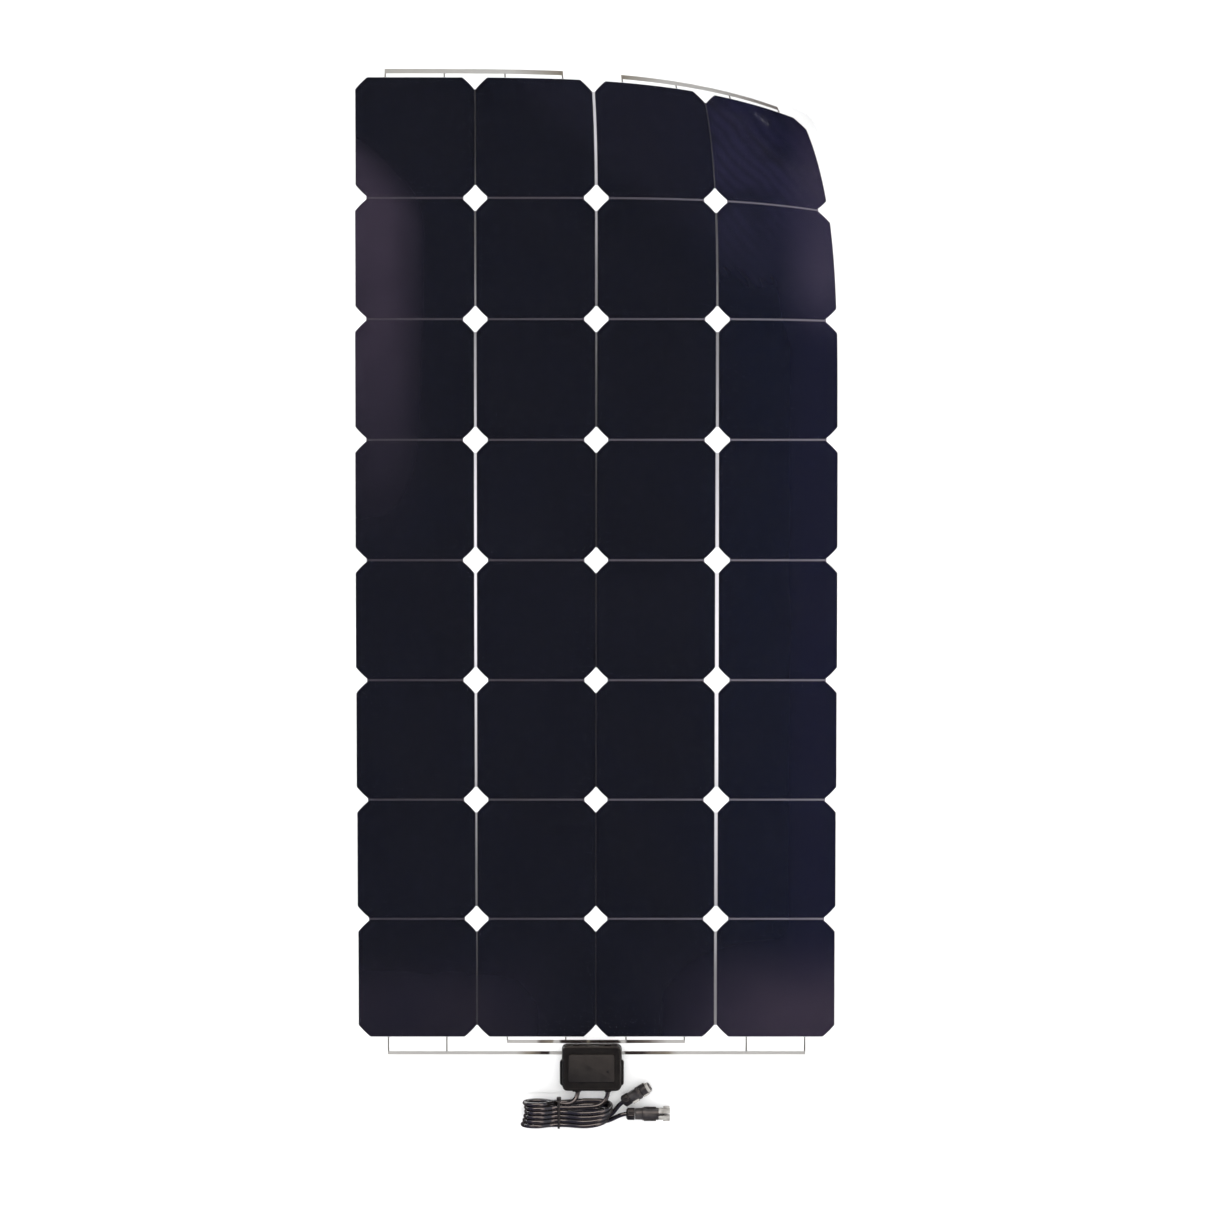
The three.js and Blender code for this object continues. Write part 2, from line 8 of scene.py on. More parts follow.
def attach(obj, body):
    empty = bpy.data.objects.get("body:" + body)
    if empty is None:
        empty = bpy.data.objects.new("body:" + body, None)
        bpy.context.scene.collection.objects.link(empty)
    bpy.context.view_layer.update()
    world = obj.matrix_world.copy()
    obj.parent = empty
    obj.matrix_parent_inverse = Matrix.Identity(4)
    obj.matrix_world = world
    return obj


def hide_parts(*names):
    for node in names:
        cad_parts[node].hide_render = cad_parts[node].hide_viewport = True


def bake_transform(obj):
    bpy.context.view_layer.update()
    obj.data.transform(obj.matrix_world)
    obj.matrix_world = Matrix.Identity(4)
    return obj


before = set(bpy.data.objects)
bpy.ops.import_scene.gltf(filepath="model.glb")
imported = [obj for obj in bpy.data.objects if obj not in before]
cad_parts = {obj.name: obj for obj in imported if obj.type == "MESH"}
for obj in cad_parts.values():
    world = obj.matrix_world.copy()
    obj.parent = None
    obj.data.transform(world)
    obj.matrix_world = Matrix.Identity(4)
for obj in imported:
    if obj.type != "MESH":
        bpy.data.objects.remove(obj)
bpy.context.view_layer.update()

# A flexible solar sheet with one corner curled up. Lengths below are in millimetres, as in the CAD
# source, and become metres where meshes and curves are made.
MM = 0.001


def share_of(value, low, high):
    return min(1.0, max(0.0, (value - low) / (high - low)))


def smooth(share):
    return share * share * (3 - 2 * share)


def eased(share):
    return (1 - math.cos(math.pi * min(1.0, max(0.0, share)))) / 2


# ---------- Camera ----------

# The view is from far above, a little from the curled end, with the sheet's length up the picture.
CAMERA_TILT = math.radians(4)
CAMERA_DISTANCE = 5.2
CAMERA_TARGET = Vector((0.0111, -0.0306, 0))

camera_data = bpy.data.cameras.new("camera")
camera_data.sensor_width = 36
camera_data.lens = 146
camera_data.clip_end = 100
camera = bpy.data.objects.new("camera", camera_data)
camera.rotation_euler = Euler((-CAMERA_TILT, 0, 0))
camera.location = CAMERA_TARGET + CAMERA_DISTANCE * Vector(
    (0, math.sin(CAMERA_TILT), math.cos(CAMERA_TILT))
)
bpy.context.collection.objects.link(camera)
bpy.context.scene.camera = camera


# ---------- Leads ----------

# Both leads are folded together into a hank of six upright loops that stand side by side. The left
# lead is in planes 0, 2 and 4, counted away from the box, and the right lead in planes 1, 3 and 5.
LEAD_RADIUS = 2.3
LEAD_HEIGHT = 8.4
EXIT_Y = -546.6
EXIT_X = {"left": -20, "right": 12}
PLANE_Y = [-556.3 - 2 * LEAD_RADIUS * plane for plane in range(6)]
HANK_MIDDLE = 16.1
FOLD = 13.8
NECK = 4.5
TIE_X = -40
TIE_HALF = 2
NECK_LENGTH = 27
LEFT_CENTRE = [-63.1, -61.9, -61.7, -62.4, -63.2, -64.9]
LEFT_FOLD = [13.4, 13.2, 13.3, 13.4, 13.6, 13.8]
RIGHT_CENTRE = [1.7, 1.7, -1.0, -2.5]
CONNECTOR = {
    "left": {"at": (28, -557, 7.4), "heading": 31.4, "pitch": 7},
    "right": {"at": (31.6, -569.8, 7.4), "heading": 0, "pitch": 0},
}


def half_height(x):
    """Half the height between the runs' centrelines, to the right of the tie."""
    return NECK + (FOLD - NECK) * eased((x - TIE_X - TIE_HALF) / NECK_LENGTH)


def run(x_from, x_to, side):
    """One run between the tie and the right-hand folds, along the top (1) or the bottom (-1)."""
    count = max(2, round(abs(x_to - x_from) / 4))
    xs = [x_from + (x_to - x_from) * i / count for i in range(count + 1)]
    return [(x, HANK_MIDDLE + side * half_height(x)) for x in xs]


def left_fold(plane, top_gap):
    """From the tie along the top, round the left end, and back to the tie along the bottom."""
    radius, centre = LEFT_FOLD[plane], LEFT_CENTRE[plane]
    edge = TIE_X - TIE_HALF
    sides = []
    for gap in (top_gap, NECK):
        back = 10 if top_gap < NECK else radius
        turn = math.acos((gap + back) / (radius + back))
        start = centre + (radius + back) * math.sin(turn)
        arc = [
            (start - back * math.sin(turn * i / 5), gap + back * (1 - math.cos(turn * i / 5)))
            for i in range(6)
        ]
        sides.append((turn, ([(edge, gap)] if start < edge - 1 else []) + arc))
    (top_turn, top), (bottom_turn, bottom) = sides
    steps = 16
    sweep = math.pi + top_turn + bottom_turn
    round_end = []
    for i in range(1, steps):
        angle = -top_turn + sweep * i / steps
        round_end.append((centre - radius * math.sin(angle), radius * math.cos(angle)))
    outline = top + round_end + [(x, -z) for x, z in reversed(bottom)]
    return [(x, HANK_MIDDLE + z) for x, z in outline]


def right_fold(plane):
    """From the bottom run round the right end to the top run."""
    centre, steps = RIGHT_CENTRE[plane], 12
    angles = [math.pi * i / steps for i in range(1, steps)]
    return [(centre + FOLD * math.sin(a), HANK_MIDDLE - FOLD * math.cos(a)) for a in angles]


def entry(side, plane_y, neck_height, rise_length):
    """From the strain relief, turning left and rising to the tie."""
    x0 = EXIT_X[side]
    start = EXIT_Y - 0.3
    radius = start - plane_y
    flat = [(x0, EXIT_Y), (x0, EXIT_Y - 0.15)]
    for i in range(9):
        angle = math.radians(90 * i / 8)
        flat.append((x0 - radius * (1 - math.cos(angle)), start - radius * math.sin(angle)))
    last = flat[-1][0]
    count = max(2, round((last - TIE_X - TIE_HALF) / 5))
    for i in range(1, count + 1):
        flat.append((last + (TIE_X + TIE_HALF - last) * i / count, plane_y))
    points, length, before = [], 0.0, flat[0]
    for x, y in flat:
        length += math.hypot(x - before[0], y - before[1])
        before = (x, y)
        rise = smooth(share_of(length, 0.3, rise_length))
        points.append(Vector((x, y, LEAD_HEIGHT + (neck_height - LEAD_HEIGHT) * rise)))
    return points


def leave(start_x, plane_y, side):
    """From the last bottom run along the floor and up into the cable nut of the connector."""
    end = Vector(CONNECTOR[side]["at"])
    heading = math.radians(CONNECTOR[side]["heading"])
    pitch = math.radians(CONNECTOR[side]["pitch"])
    level = math.cos(pitch)
    into = Vector((math.cos(heading) * level, math.sin(heading) * level, math.sin(pitch)))
    first = Vector((start_x, plane_y, HANK_MIDDLE - FOLD))
    pull = (end - first).length * (0.5 if side == "left" else 0.42)
    controls = [first, first + Vector((pull, 0, 0)), end - into * pull * 0.75, end]
    points = []
    for i in range(1, 11):
        t = i / 10
        weights = [(1 - t) ** 3, 3 * t * (1 - t) ** 2, 3 * t * t * (1 - t), t**3]
        points.append(sum((w * c for w, c in zip(weights, controls)), Vector()))
    return points + [end + into * 3, end + into * 6]


def lead_route(side):
    """The lead's whole centreline, from its strain relief to inside its cable nut."""
    planes = (0, 2, 4) if side == "left" else (1, 3, 5)
    tie_right = TIE_X + TIE_HALF
    if side == "left":
        points = entry(side, PLANE_Y[0] - 1.2, HANK_MIDDLE + 0.2, 23)
        first_gap = 0.2
    else:
        points = entry(side, PLANE_Y[1], HANK_MIDDLE + NECK, 58)
        first_gap = NECK
    for lap, plane in enumerate(planes):
        y = PLANE_Y[plane]
        loop = left_fold(plane, first_gap if lap == 0 else NECK)
        last_x = RIGHT_CENTRE[plane] if lap < 2 else {"left": 5, "right": 4}[side]
        loop += run(tie_right, last_x, -1)
        points += [Vector((x, y, z)) for x, z in loop]
        if lap == 2:
            break
        next_y = PLANE_Y[planes[lap + 1]]
        climb = right_fold(plane) + run(RIGHT_CENTRE[plane], tie_right, 1)
        length, before = 0.0, loop[-1]
        for x, z in climb:
            length += math.hypot(x - before[0], z - before[1])
            before = (x, z)
            points.append(Vector((x, y + (next_y - y) * smooth(share_of(length, 0, 55)), z)))
    return points + leave(last_x, PLANE_Y[planes[-1]], side)


def evened(points, step):
    """The same line through points that are step apart, with repeated points left out."""
    kept = [points[0]]
    for point in points[1:]:
        if (point - kept[-1]).length > 0.4:
            kept.append(point)
    lengths = [0.0]
    for a, b in zip(kept, kept[1:]):
        lengths.append(lengths[-1] + (b - a).length)
    count = round(lengths[-1] / step)
    found, k = [], 0
    for i in range(count + 1):
        at = lengths[-1] * i / count
        while k + 2 < len(kept) and lengths[k + 1] < at:
            k += 1
        share = (at - lengths[k]) / (lengths[k + 1] - lengths[k])
        found.append(kept[k].lerp(kept[k + 1], share))
    return found


def softened(points, rounds):
    """Takes the small corners out of a line, and leaves its ends where they are."""
    for _ in range(rounds):
        inner = [
            0.25 * a + 0.5 * b + 0.25 * c for a, b, c in zip(points, points[1:], points[2:])
        ]
        points = [points[0]] + inner + [points[-1]]
    return points


def make_cord(name, points):
    data = bpy.data.curves.new(name, "CURVE")
    data.dimensions = "3D"
    data.bevel_depth = 1
    data.bevel_resolution = 5
    data.use_fill_caps = True
    spline = data.splines.new("POLY")
    spline.points.add(len(points) - 1)
    for target, point in zip(spline.points, points):
        target.co = (*(point * MM), 1)
        target.radius = LEAD_RADIUS * MM
    cord = bpy.data.objects.new(name, data)
    bpy.context.collection.objects.link(cord)
    return cord


leads = {}
for side in ("left", "right"):
    route = softened(evened(lead_route(side), 1.6), 6)
    cord = make_cord(f"lead_{side}_cord", route)
    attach(cord, "sheet")
    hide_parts(*(["lead_left"] if side == "left" else ["lead_right", "lead_hank"]))
    leads[side] = (cord, route)


# ---------- Materials ----------

def new_material(name, color, roughness, **sockets):
    made = bpy.data.materials.new(name)
    made.use_nodes = True
    shader = made.node_tree.nodes["Principled BSDF"]
    shader.inputs["Base Color"].default_value = (*color, 1)
    shader.inputs["Roughness"].default_value = roughness
    for socket, value in sockets.items():
        shader.inputs[socket.replace("_", " ")].default_value = value
    return made


def ease(tree, source, start, end, top=1.0):
    """0 before start and top after end, with a smooth step between; end may be below start."""
    made = tree.nodes.new("ShaderNodeMapRange")
    made.interpolation_type = "SMOOTHSTEP"
    made.inputs["From Min"].default_value = start
    made.inputs["From Max"].default_value = end
    made.inputs["To Max"].default_value = top
    tree.links.new(source, made.inputs["Value"])
    return made.outputs["Result"]


def combined(tree, operation, *sources):
    """Number sockets put together one after another, by MULTIPLY, ADD or MAXIMUM."""
    result = sources[0]
    for source in sources[1:]:
        step = tree.nodes.new("ShaderNodeMath")
        step.operation = operation
        tree.links.new(result, step.inputs[0])
        tree.links.new(source, step.inputs[1])
        result = step.outputs["Value"]
    return result


def mixed(tree, share, first, second):
    """Two colours, each a socket or a tuple, mixed by a share."""
    made = tree.nodes.new("ShaderNodeMix")
    made.data_type = "RGBA"
    tree.links.new(share, made.inputs["Factor"])
    for socket, source in ((made.inputs[6], first), (made.inputs[7], second)):
        if isinstance(source, tuple):
            socket.default_value = (*source[:3], 1)
        else:
            tree.links.new(source, socket)
    return made.outputs[2]


def object_axes(tree):
    """The X, Y and Z of a point in the object's own coordinates, in metres."""
    place = tree.nodes.new("ShaderNodeTexCoord")
    split = tree.nodes.new("ShaderNodeSeparateXYZ")
    tree.links.new(place.outputs["Object"], split.inputs["Vector"])
    return split.outputs


def texture(tree, kind, stretch=(1, 1, 1), turn=0.0, **numbers):
    """A texture node in the object's own coordinates, with its input numbers set by name."""
    place = tree.nodes.new("ShaderNodeTexCoord")
    mapping = tree.nodes.new("ShaderNodeMapping")
    mapping.inputs["Scale"].default_value = stretch
    mapping.inputs["Rotation"].default_value = (0, 0, turn)
    made = tree.nodes.new(kind)
    for name, value in numbers.items():
        made.inputs[name.replace("_", " ")].default_value = value
    tree.links.new(place.outputs["Object"], mapping.inputs["Vector"])
    tree.links.new(mapping.outputs["Vector"], made.inputs["Vector"])
    return made


def noise(material, scale, detail=3, stretch=(1, 1, 1)):
    """Noise from 0 to 1; scale is in cycles per metre."""
    made = texture(material.node_tree, "ShaderNodeTexNoise", stretch, Scale=scale, Detail=detail)
    return made.outputs["Fac"]


def waves(material, period, heading):
    """Soft wavering bands from 0 to 1, period metres apart and heading radians from X."""
    scale = 2 * math.pi / 20 / period
    made = texture(
        material.node_tree, "ShaderNodeTexWave", turn=-heading,
        Scale=scale, Distortion=5, Detail=2, Detail_Scale=0.6,
    )
    made.bands_direction = "Y"
    return made.outputs["Fac"]


def vary_color(material, scale, low, high, detail=3, stretch=(1, 1, 1), spread=(0.35, 0.65)):
    tree = material.node_tree
    ramp = tree.nodes.new("ShaderNodeValToRGB")
    for element, position, color in zip(ramp.color_ramp.elements, spread, (low, high)):
        element.position = position
        element.color = (*color, 1)
    tree.links.new(noise(material, scale, detail, stretch), ramp.inputs["Fac"])
    tree.links.new(ramp.outputs["Color"], tree.nodes["Principled BSDF"].inputs["Base Color"])


def vary_roughness(material, scale, low, high, detail=2, stretch=(1, 1, 1)):
    tree = material.node_tree
    spread = tree.nodes.new("ShaderNodeMapRange")
    spread.inputs["From Min"].default_value = 0.3
    spread.inputs["From Max"].default_value = 0.7
    spread.inputs["To Min"].default_value = low
    spread.inputs["To Max"].default_value = high
    tree.links.new(noise(material, scale, detail, stretch), spread.inputs["Value"])
    tree.links.new(spread.outputs["Result"], tree.nodes["Principled BSDF"].inputs["Roughness"])


def add_bump(material, scale, strength, distance, detail=2, stretch=(1, 1, 1)):
    tree = material.node_tree
    bump = tree.nodes.new("ShaderNodeBump")
    bump.inputs["Strength"].default_value = strength
    bump.inputs["Distance"].default_value = distance
    tree.links.new(noise(material, scale, detail, stretch), bump.inputs["Height"])
    shader = tree.nodes["Principled BSDF"]
    tree.links.new(bump.outputs["Normal"], shader.inputs["Normal"])
    if shader.inputs["Coat Weight"].default_value:
        tree.links.new(bump.outputs["Normal"], shader.inputs["Coat Normal"])


def vary_along(material, axis, stops, waver=0.0):
    """Colours along one axis: stops are (millimetres, colour), and waver shifts them unevenly."""
    tree = material.node_tree
    uneven = tree.nodes.new("ShaderNodeMath")
    uneven.operation = "MULTIPLY_ADD"
    uneven.inputs[1].default_value = waver * MM
    tree.links.new(noise(material, 90, 3), uneven.inputs[0])
    tree.links.new(object_axes(tree)[axis], uneven.inputs[2])
    first, last = stops[0][0], stops[-1][0]
    share = tree.nodes.new("ShaderNodeMapRange")
    share.inputs["From Min"].default_value = first * MM
    share.inputs["From Max"].default_value = last * MM
    tree.links.new(uneven.outputs["Value"], share.inputs["Value"])
    ramp = tree.nodes.new("ShaderNodeValToRGB")
    elements = ramp.color_ramp.elements
    for at, color in stops[1:-1]:
        elements.new((at - first) / (last - first)).color = (*color, 1)
    elements[0].color = (*stops[0][1], 1)
    elements[-1].color = (*stops[-1][1], 1)
    tree.links.new(share.outputs["Result"], ramp.inputs["Fac"])
    tree.links.new(ramp.outputs["Color"], tree.nodes["Principled BSDF"].inputs["Base Color"])


NAVY_DARK = (0.0028, 0.0033, 0.0068)
NAVY = (0.0040, 0.0048, 0.0108)
RIGHT_BLUE = (0.0030, 0.0046, 0.0142)
EDGE_BLUE = (0.0048, 0.0054, 0.0176)
RIPPLE_BLUE = (0.0108, 0.0102, 0.0300)
# Painted reflection: the violet of a bright light reflected in the film, put into the cells' colour.
PAINTED_REFLECTION_VIOLET = (0.0275, 0.0205, 0.0350)
EDGE_PAINTED_REFLECTION = (0.0360, 0.0290, 0.0530)


def cell_material(name, ripples):
    """Navy black under a glossy film, bluer toward the right, with painted violet reflection in four
    places.

    The numbers given to ease are places on the sheet, in metres, unless it eases a texture.
    """
    made = new_material(
        name, (0.004, 0.0046, 0.009), 0.4, Coat_Weight=1, Coat_Roughness=0.1, Specular_IOR_Level=0.08
    )
    tree = made.node_tree
    x, y, _ = object_axes(tree)
    slanted = tree.nodes.new("ShaderNodeMath")
    slanted.operation = "MULTIPLY_ADD"
    slanted.inputs[1].default_value = 0.85
    tree.links.new(x, slanted.inputs[0])
    tree.links.new(y, slanted.inputs[2])

    base = mixed(tree, noise(made, 9, 2), NAVY_DARK, NAVY)
    base = mixed(tree, ease(tree, x, 0.06, 0.19, 0.75), base, RIGHT_BLUE)
    base = mixed(tree, ease(tree, x, 0.185, 0.230, 0.9), base, EDGE_BLUE)
    if ripples:
        bands = ease(tree, waves(made, 0.010, math.radians(-48)), -1.0, 1.0)
        patches = ease(tree, noise(made, 22, 2), 0.2, 0.6)
        bands = combined(tree, "MULTIPLY", bands, patches, ease(tree, y, 0.27, 0.44, 0.85))
        base = mixed(tree, bands, base, RIPPLE_BLUE)

    # Painted reflection: these masks put the reflected violet on the left column, low left, low right
    # and along the right edge.
    left = combined(
        tree,
        "MULTIPLY",
        ease(tree, x, -0.170, -0.226),
        ease(tree, slanted.outputs["Value"], 0.262, 0.206),
        ease(tree, y, 0.0, 0.32),
    )
    low_left_reflection = combined(
        tree, "MULTIPLY", ease(tree, y, -0.385, -0.46), ease(tree, x, -0.02, -0.12, 0.28)
    )
    low_right_reflection = combined(
        tree, "MULTIPLY", ease(tree, y, -0.37, -0.47), ease(tree, x, 0.03, 0.20, 0.9)
    )
    uneven = ease(tree, noise(made, 14, 3), -0.3, 0.75)
    painted_reflection = combined(tree, "MAXIMUM", left, low_left_reflection, low_right_reflection)
    painted_reflection = combined(tree, "MULTIPLY", painted_reflection, uneven)
    color = mixed(tree, painted_reflection, base, PAINTED_REFLECTION_VIOLET)
    right_edge_reflection = combined(
        tree,
        "MULTIPLY",
        ease(tree, x, 0.185, 0.240),
        ease(tree, y, 0.24, 0.33, 0.7),
        ease(tree, y, 0.56, 0.44),
        uneven,
    )
    color = mixed(tree, right_edge_reflection, color, EDGE_PAINTED_REFLECTION)
    tree.links.new(color, tree.nodes["Principled BSDF"].inputs["Base Color"])
    vary_roughness(made, 14, 0.34, 0.46)
    add_bump(made, 240, 0.06, 0.0002)
    return made


CELL = cell_material("cell", False)
RIPPLED_CELL = cell_material("cell_rippled", True)

BACK_SHEET = new_material("back_sheet", (0.91, 0.91, 0.91), 0.5, Coat_Weight=0.3, Coat_Roughness=0.2)
vary_color(BACK_SHEET, 30, (0.90, 0.90, 0.90), (0.935, 0.935, 0.93))
add_bump(BACK_SHEET, 700, 0.12, 0.0002)

FILM = new_material("front_film", (0.01, 0.01, 0.012), 0.12, Alpha=0.025)
vary_color(FILM, 40, (0.008, 0.008, 0.010), (0.014, 0.014, 0.017))
vary_roughness(FILM, 60, 0.09, 0.16)
add_bump(FILM, 900, 0.1, 0.0001)
FILM.surface_render_method = "BLENDED"

SILVER = (0.41, 0.40, 0.38)
PALE_SILVER = (0.34, 0.33, 0.3)
BEIGE = (0.19, 0.165, 0.125)
DULL = (0.10, 0.082, 0.068)
BROWN = (0.024, 0.016, 0.013)


def foil(name, stops):
    made = new_material(name, SILVER, 0.42, Metallic=0.2)
    vary_along(made, 0, stops, waver=9)
    vary_roughness(made, 400, 0.32, 0.55, stretch=(0.1, 1, 1))
    add_bump(made, 300, 0.3, 0.0002, stretch=(0.3, 1, 1))
    return made


# The foil's tone changes along each ribbon; its dark brown and dull stretches, most of them by the box,
# are painted reflection of something dark.
TOP_LEFT_FOIL = foil(
    "foil_top_left", [(-224, PALE_SILVER), (-110, SILVER), (-85, SILVER), (-32, BEIGE)]
)
TOP_RIGHT_FOIL = foil("foil_top_right", [(28, BEIGE), (75, SILVER), (120, SILVER), (215, DULL)])
# The brown and dull stops are painted dark reflection.
INNER_STOPS = [
    (-100, SILVER), (-58, SILVER), (-54, DULL), (-42, BEIGE),
    (-40, SILVER), (-35, SILVER), (-33, BROWN), (-5, BROWN),
    (-3, BEIGE), (-1, BROWN), (28, BROWN), (30, SILVER),
    (34, SILVER), (36, BROWN), (58, DULL), (80, SILVER),
]
OUTER_STOPS = [
    (-110, SILVER), (-80, SILVER), (-66, BEIGE), (-57, DULL),
    (-55, BROWN), (-47, BROWN), (-45, SILVER), (-36, SILVER),
    (22, BROWN), (26, SILVER), (33, SILVER), (35, BROWN),
    (52, BROWN), (60, DULL), (82, BEIGE), (90, SILVER),
]
INNER_FOIL = foil("foil_inner", INNER_STOPS)
OUTER_FOIL = foil("foil_outer", OUTER_STOPS)

SOLDER = new_material("solder_tab", (0.16, 0.15, 0.14), 0.4, Metallic=0.3)
vary_color(SOLDER, 80, (0.09, 0.085, 0.08), (0.2, 0.19, 0.175))
vary_roughness(SOLDER, 300, 0.3, 0.5)

# The tabs between cells are tinned copper; they are brighter toward the right-hand columns.
TAB_METAL = new_material("tab_metal", (0.05, 0.045, 0.055), 0.42, Metallic=0.15)
TAB_STOPS = [
    (-250, (0.036, 0.031, 0.043)),
    (-60, (0.052, 0.045, 0.057)),
    (60, (0.085, 0.076, 0.095)),
    (250, (0.17, 0.155, 0.185)),
]
vary_along(TAB_METAL, 0, TAB_STOPS, waver=30)
vary_roughness(TAB_METAL, 250, 0.35, 0.5)


def spacer_material(name, centre, spread):
    """The strip in a gap between columns: white near the row called centre, and dark away from it."""
    made = new_material(name, (0.3, 0.3, 0.3), 0.5)
    stops = []
    for row in reversed(range(ROWS)):
        light = math.exp(-(((row - centre) / spread) ** 2) / 2)
        stops.append((row_y(row), [0.008 + light * c for c in (0.70, 0.68, 0.71)]))
    vary_along(made, 1, stops, waver=12)
    return made


BOX_PLASTIC = new_material("box_plastic", (0.006, 0.0055, 0.0042), 0.42, Specular_IOR_Level=0.55)
vary_color(BOX_PLASTIC, 120, (0.0026, 0.0022, 0.0012), (0.0066, 0.0058, 0.0036))
vary_roughness(BOX_PLASTIC, 350, 0.34, 0.5)
add_bump(BOX_PLASTIC, 2600, 0.22, 0.00012)

PANEL_PLASTIC = new_material("panel_plastic", (0.013, 0.011, 0.009), 0.5, Specular_IOR_Level=0.6)
vary_color(PANEL_PLASTIC, 90, (0.0076, 0.0064, 0.0046), (0.0138, 0.0114, 0.0086))
vary_roughness(PANEL_PLASTIC, 300, 0.42, 0.58)
add_bump(PANEL_PLASTIC, 3200, 0.3, 0.00012)

SEALANT = new_material("sealant", (0.05, 0.048, 0.045), 0.45)
vary_color(SEALANT, 60, (0.035, 0.033, 0.03), (0.07, 0.067, 0.062))
add_bump(SEALANT, 500, 0.3, 0.0002)

RUBBER = new_material("rubber", (0.012, 0.012, 0.012), 0.7)
vary_color(RUBBER, 200, (0.009, 0.009, 0.009), (0.018, 0.017, 0.016))
add_bump(RUBBER, 1800, 0.2, 0.0001)

TIN = new_material("tin_plate", (0.7, 0.69, 0.66), 0.3, Metallic=1)
vary_roughness(TIN, 500, 0.22, 0.4)
add_bump(TIN, 900, 0.12, 0.0001)

EPOXY = new_material("diode_epoxy", (0.014, 0.014, 0.015), 0.35)
vary_roughness(EPOXY, 900, 0.28, 0.42)
add_bump(EPOXY, 2500, 0.15, 0.0001)

JACKET = new_material(
    "lead_jacket", (0.006, 0.0045, 0.004), 0.25, Coat_Weight=1, Coat_Roughness=0.07, Coat_IOR=2.0
)
vary_color(JACKET, 45, (0.0012, 0.0009, 0.0007), (0.0068, 0.0046, 0.0038))
vary_roughness(JACKET, 55, 0.12, 0.5)
add_bump(JACKET, 220, 0.25, 0.0006)

for cord, _ in leads.values():
    cord.data.materials.append(JACKET)

TIE_PLASTIC = new_material("tie_nylon", (0.009, 0.0075, 0.0068), 0.4, Specular_IOR_Level=0.9)
vary_color(TIE_PLASTIC, 150, (0.007, 0.0058, 0.0052), (0.013, 0.011, 0.010))
vary_roughness(TIE_PLASTIC, 500, 0.32, 0.48)
add_bump(TIE_PLASTIC, 1500, 0.15, 0.0001)

NUT_PLASTIC = new_material("nut_plastic", (0.006, 0.0055, 0.005), 0.38, Specular_IOR_Level=0.9)
vary_color(NUT_PLASTIC, 200, (0.0024, 0.0022, 0.002), (0.0062, 0.0058, 0.005))
vary_roughness(NUT_PLASTIC, 400, 0.32, 0.46)
add_bump(NUT_PLASTIC, 2200, 0.2, 0.0001)

SLEEVE_PLASTIC = new_material("sleeve_plastic", (0.035, 0.031, 0.031), 0.4, Specular_IOR_Level=0.9)
vary_color(SLEEVE_PLASTIC, 130, (0.014, 0.012, 0.0115), (0.042, 0.038, 0.036))
vary_roughness(SLEEVE_PLASTIC, 400, 0.3, 0.48)
add_bump(SLEEVE_PLASTIC, 2200, 0.2, 0.0001)

# Painted highlight: pale grey put on parts of the dark connectors where they catch the light.
PAINTED_HIGHLIGHT_PLASTIC = new_material("painted_highlight_plastic", (0.26, 0.25, 0.235), 0.4)
vary_color(PAINTED_HIGHLIGHT_PLASTIC, 200, (0.19, 0.18, 0.165), (0.40, 0.385, 0.36))
vary_roughness(PAINTED_HIGHLIGHT_PLASTIC, 400, 0.32, 0.5)
add_bump(PAINTED_HIGHLIGHT_PLASTIC, 1500, 0.15, 0.0001)


# ---------- The laminate ----------

def dress(nodes, material, bevel=None):
    """Gives CAD nodes their material and, where asked, rounds their edges by bevel millimetres."""
    for name in nodes:
        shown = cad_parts[name]
        shown.data.materials.clear()
        shown.data.materials.append(material)
        if bevel:
            weld = shown.modifiers.new("weld", "WELD")
            weld.merge_threshold = 1e-6
            edge = shown.modifiers.new("bevel", "BEVEL")
            edge.width = bevel * MM
            edge.segments = 2
            edge.limit_method = "ANGLE"
            edge.angle_limit = math.radians(32)


# The CAD's facets become a smooth bend. The curl is cut in five zones, one for each hinge.
SHEET = {"width": 546, "length": 1096, "corner": 8}
LAYERS = {"back": (0, 1.0), "tab": (1.04, 1.24), "cell": (1.3, 1.5), "film": (1.8, 2.1)}
CURL_ANGLE = math.radians(50)
CURL_RADIUS = 230
CURL_TURN = math.radians(77.4)
ZONES = 5
STEP = 2.2
ALONG = Vector((math.cos(CURL_ANGLE), math.sin(CURL_ANGLE), 0))


def reach_of(x, y):
    return x * ALONG.x + y * ALONG.y


CORNER_REACH = reach_of(SHEET["width"] / 2, SHEET["length"] / 2)
CURL_START = CORNER_REACH - CURL_RADIUS * CURL_TURN
ZONE_REACH = CURL_RADIUS * CURL_TURN / ZONES


def curled(x, y, height):
    """Where a point of the flat laminate lies once the corner is curled."""
    reach = reach_of(x, y)
    if reach <= CURL_START:
        return Vector((x, y, height))
    turn = (reach - CURL_START) / CURL_RADIUS
    arm = CURL_RADIUS - height
    shift = CURL_START + arm * math.sin(turn) - reach
    return Vector((x + shift * ALONG.x, y + shift * ALONG.y, CURL_RADIUS - arm * math.cos(turn)))


def finish_mesh(name, mesh, material, sharp=30):
    for face in mesh.polygons:
        face.use_smooth = True
    mesh.set_sharp_from_angle(angle=math.radians(sharp))
    mesh.materials.append(material)
    piece = bpy.data.objects.new(name, mesh)
    bpy.context.collection.objects.link(piece)
    return piece


def cut_lines(flat, lines):
    """Cuts a flat bmesh along each (point, normal) line."""
    for point, normal in lines:
        geometry = flat.verts[:] + flat.edges[:] + flat.faces[:]
        bmesh.ops.bisect_plane(flat, geom=geometry, dist=1e-6, plane_co=point, plane_no=normal)


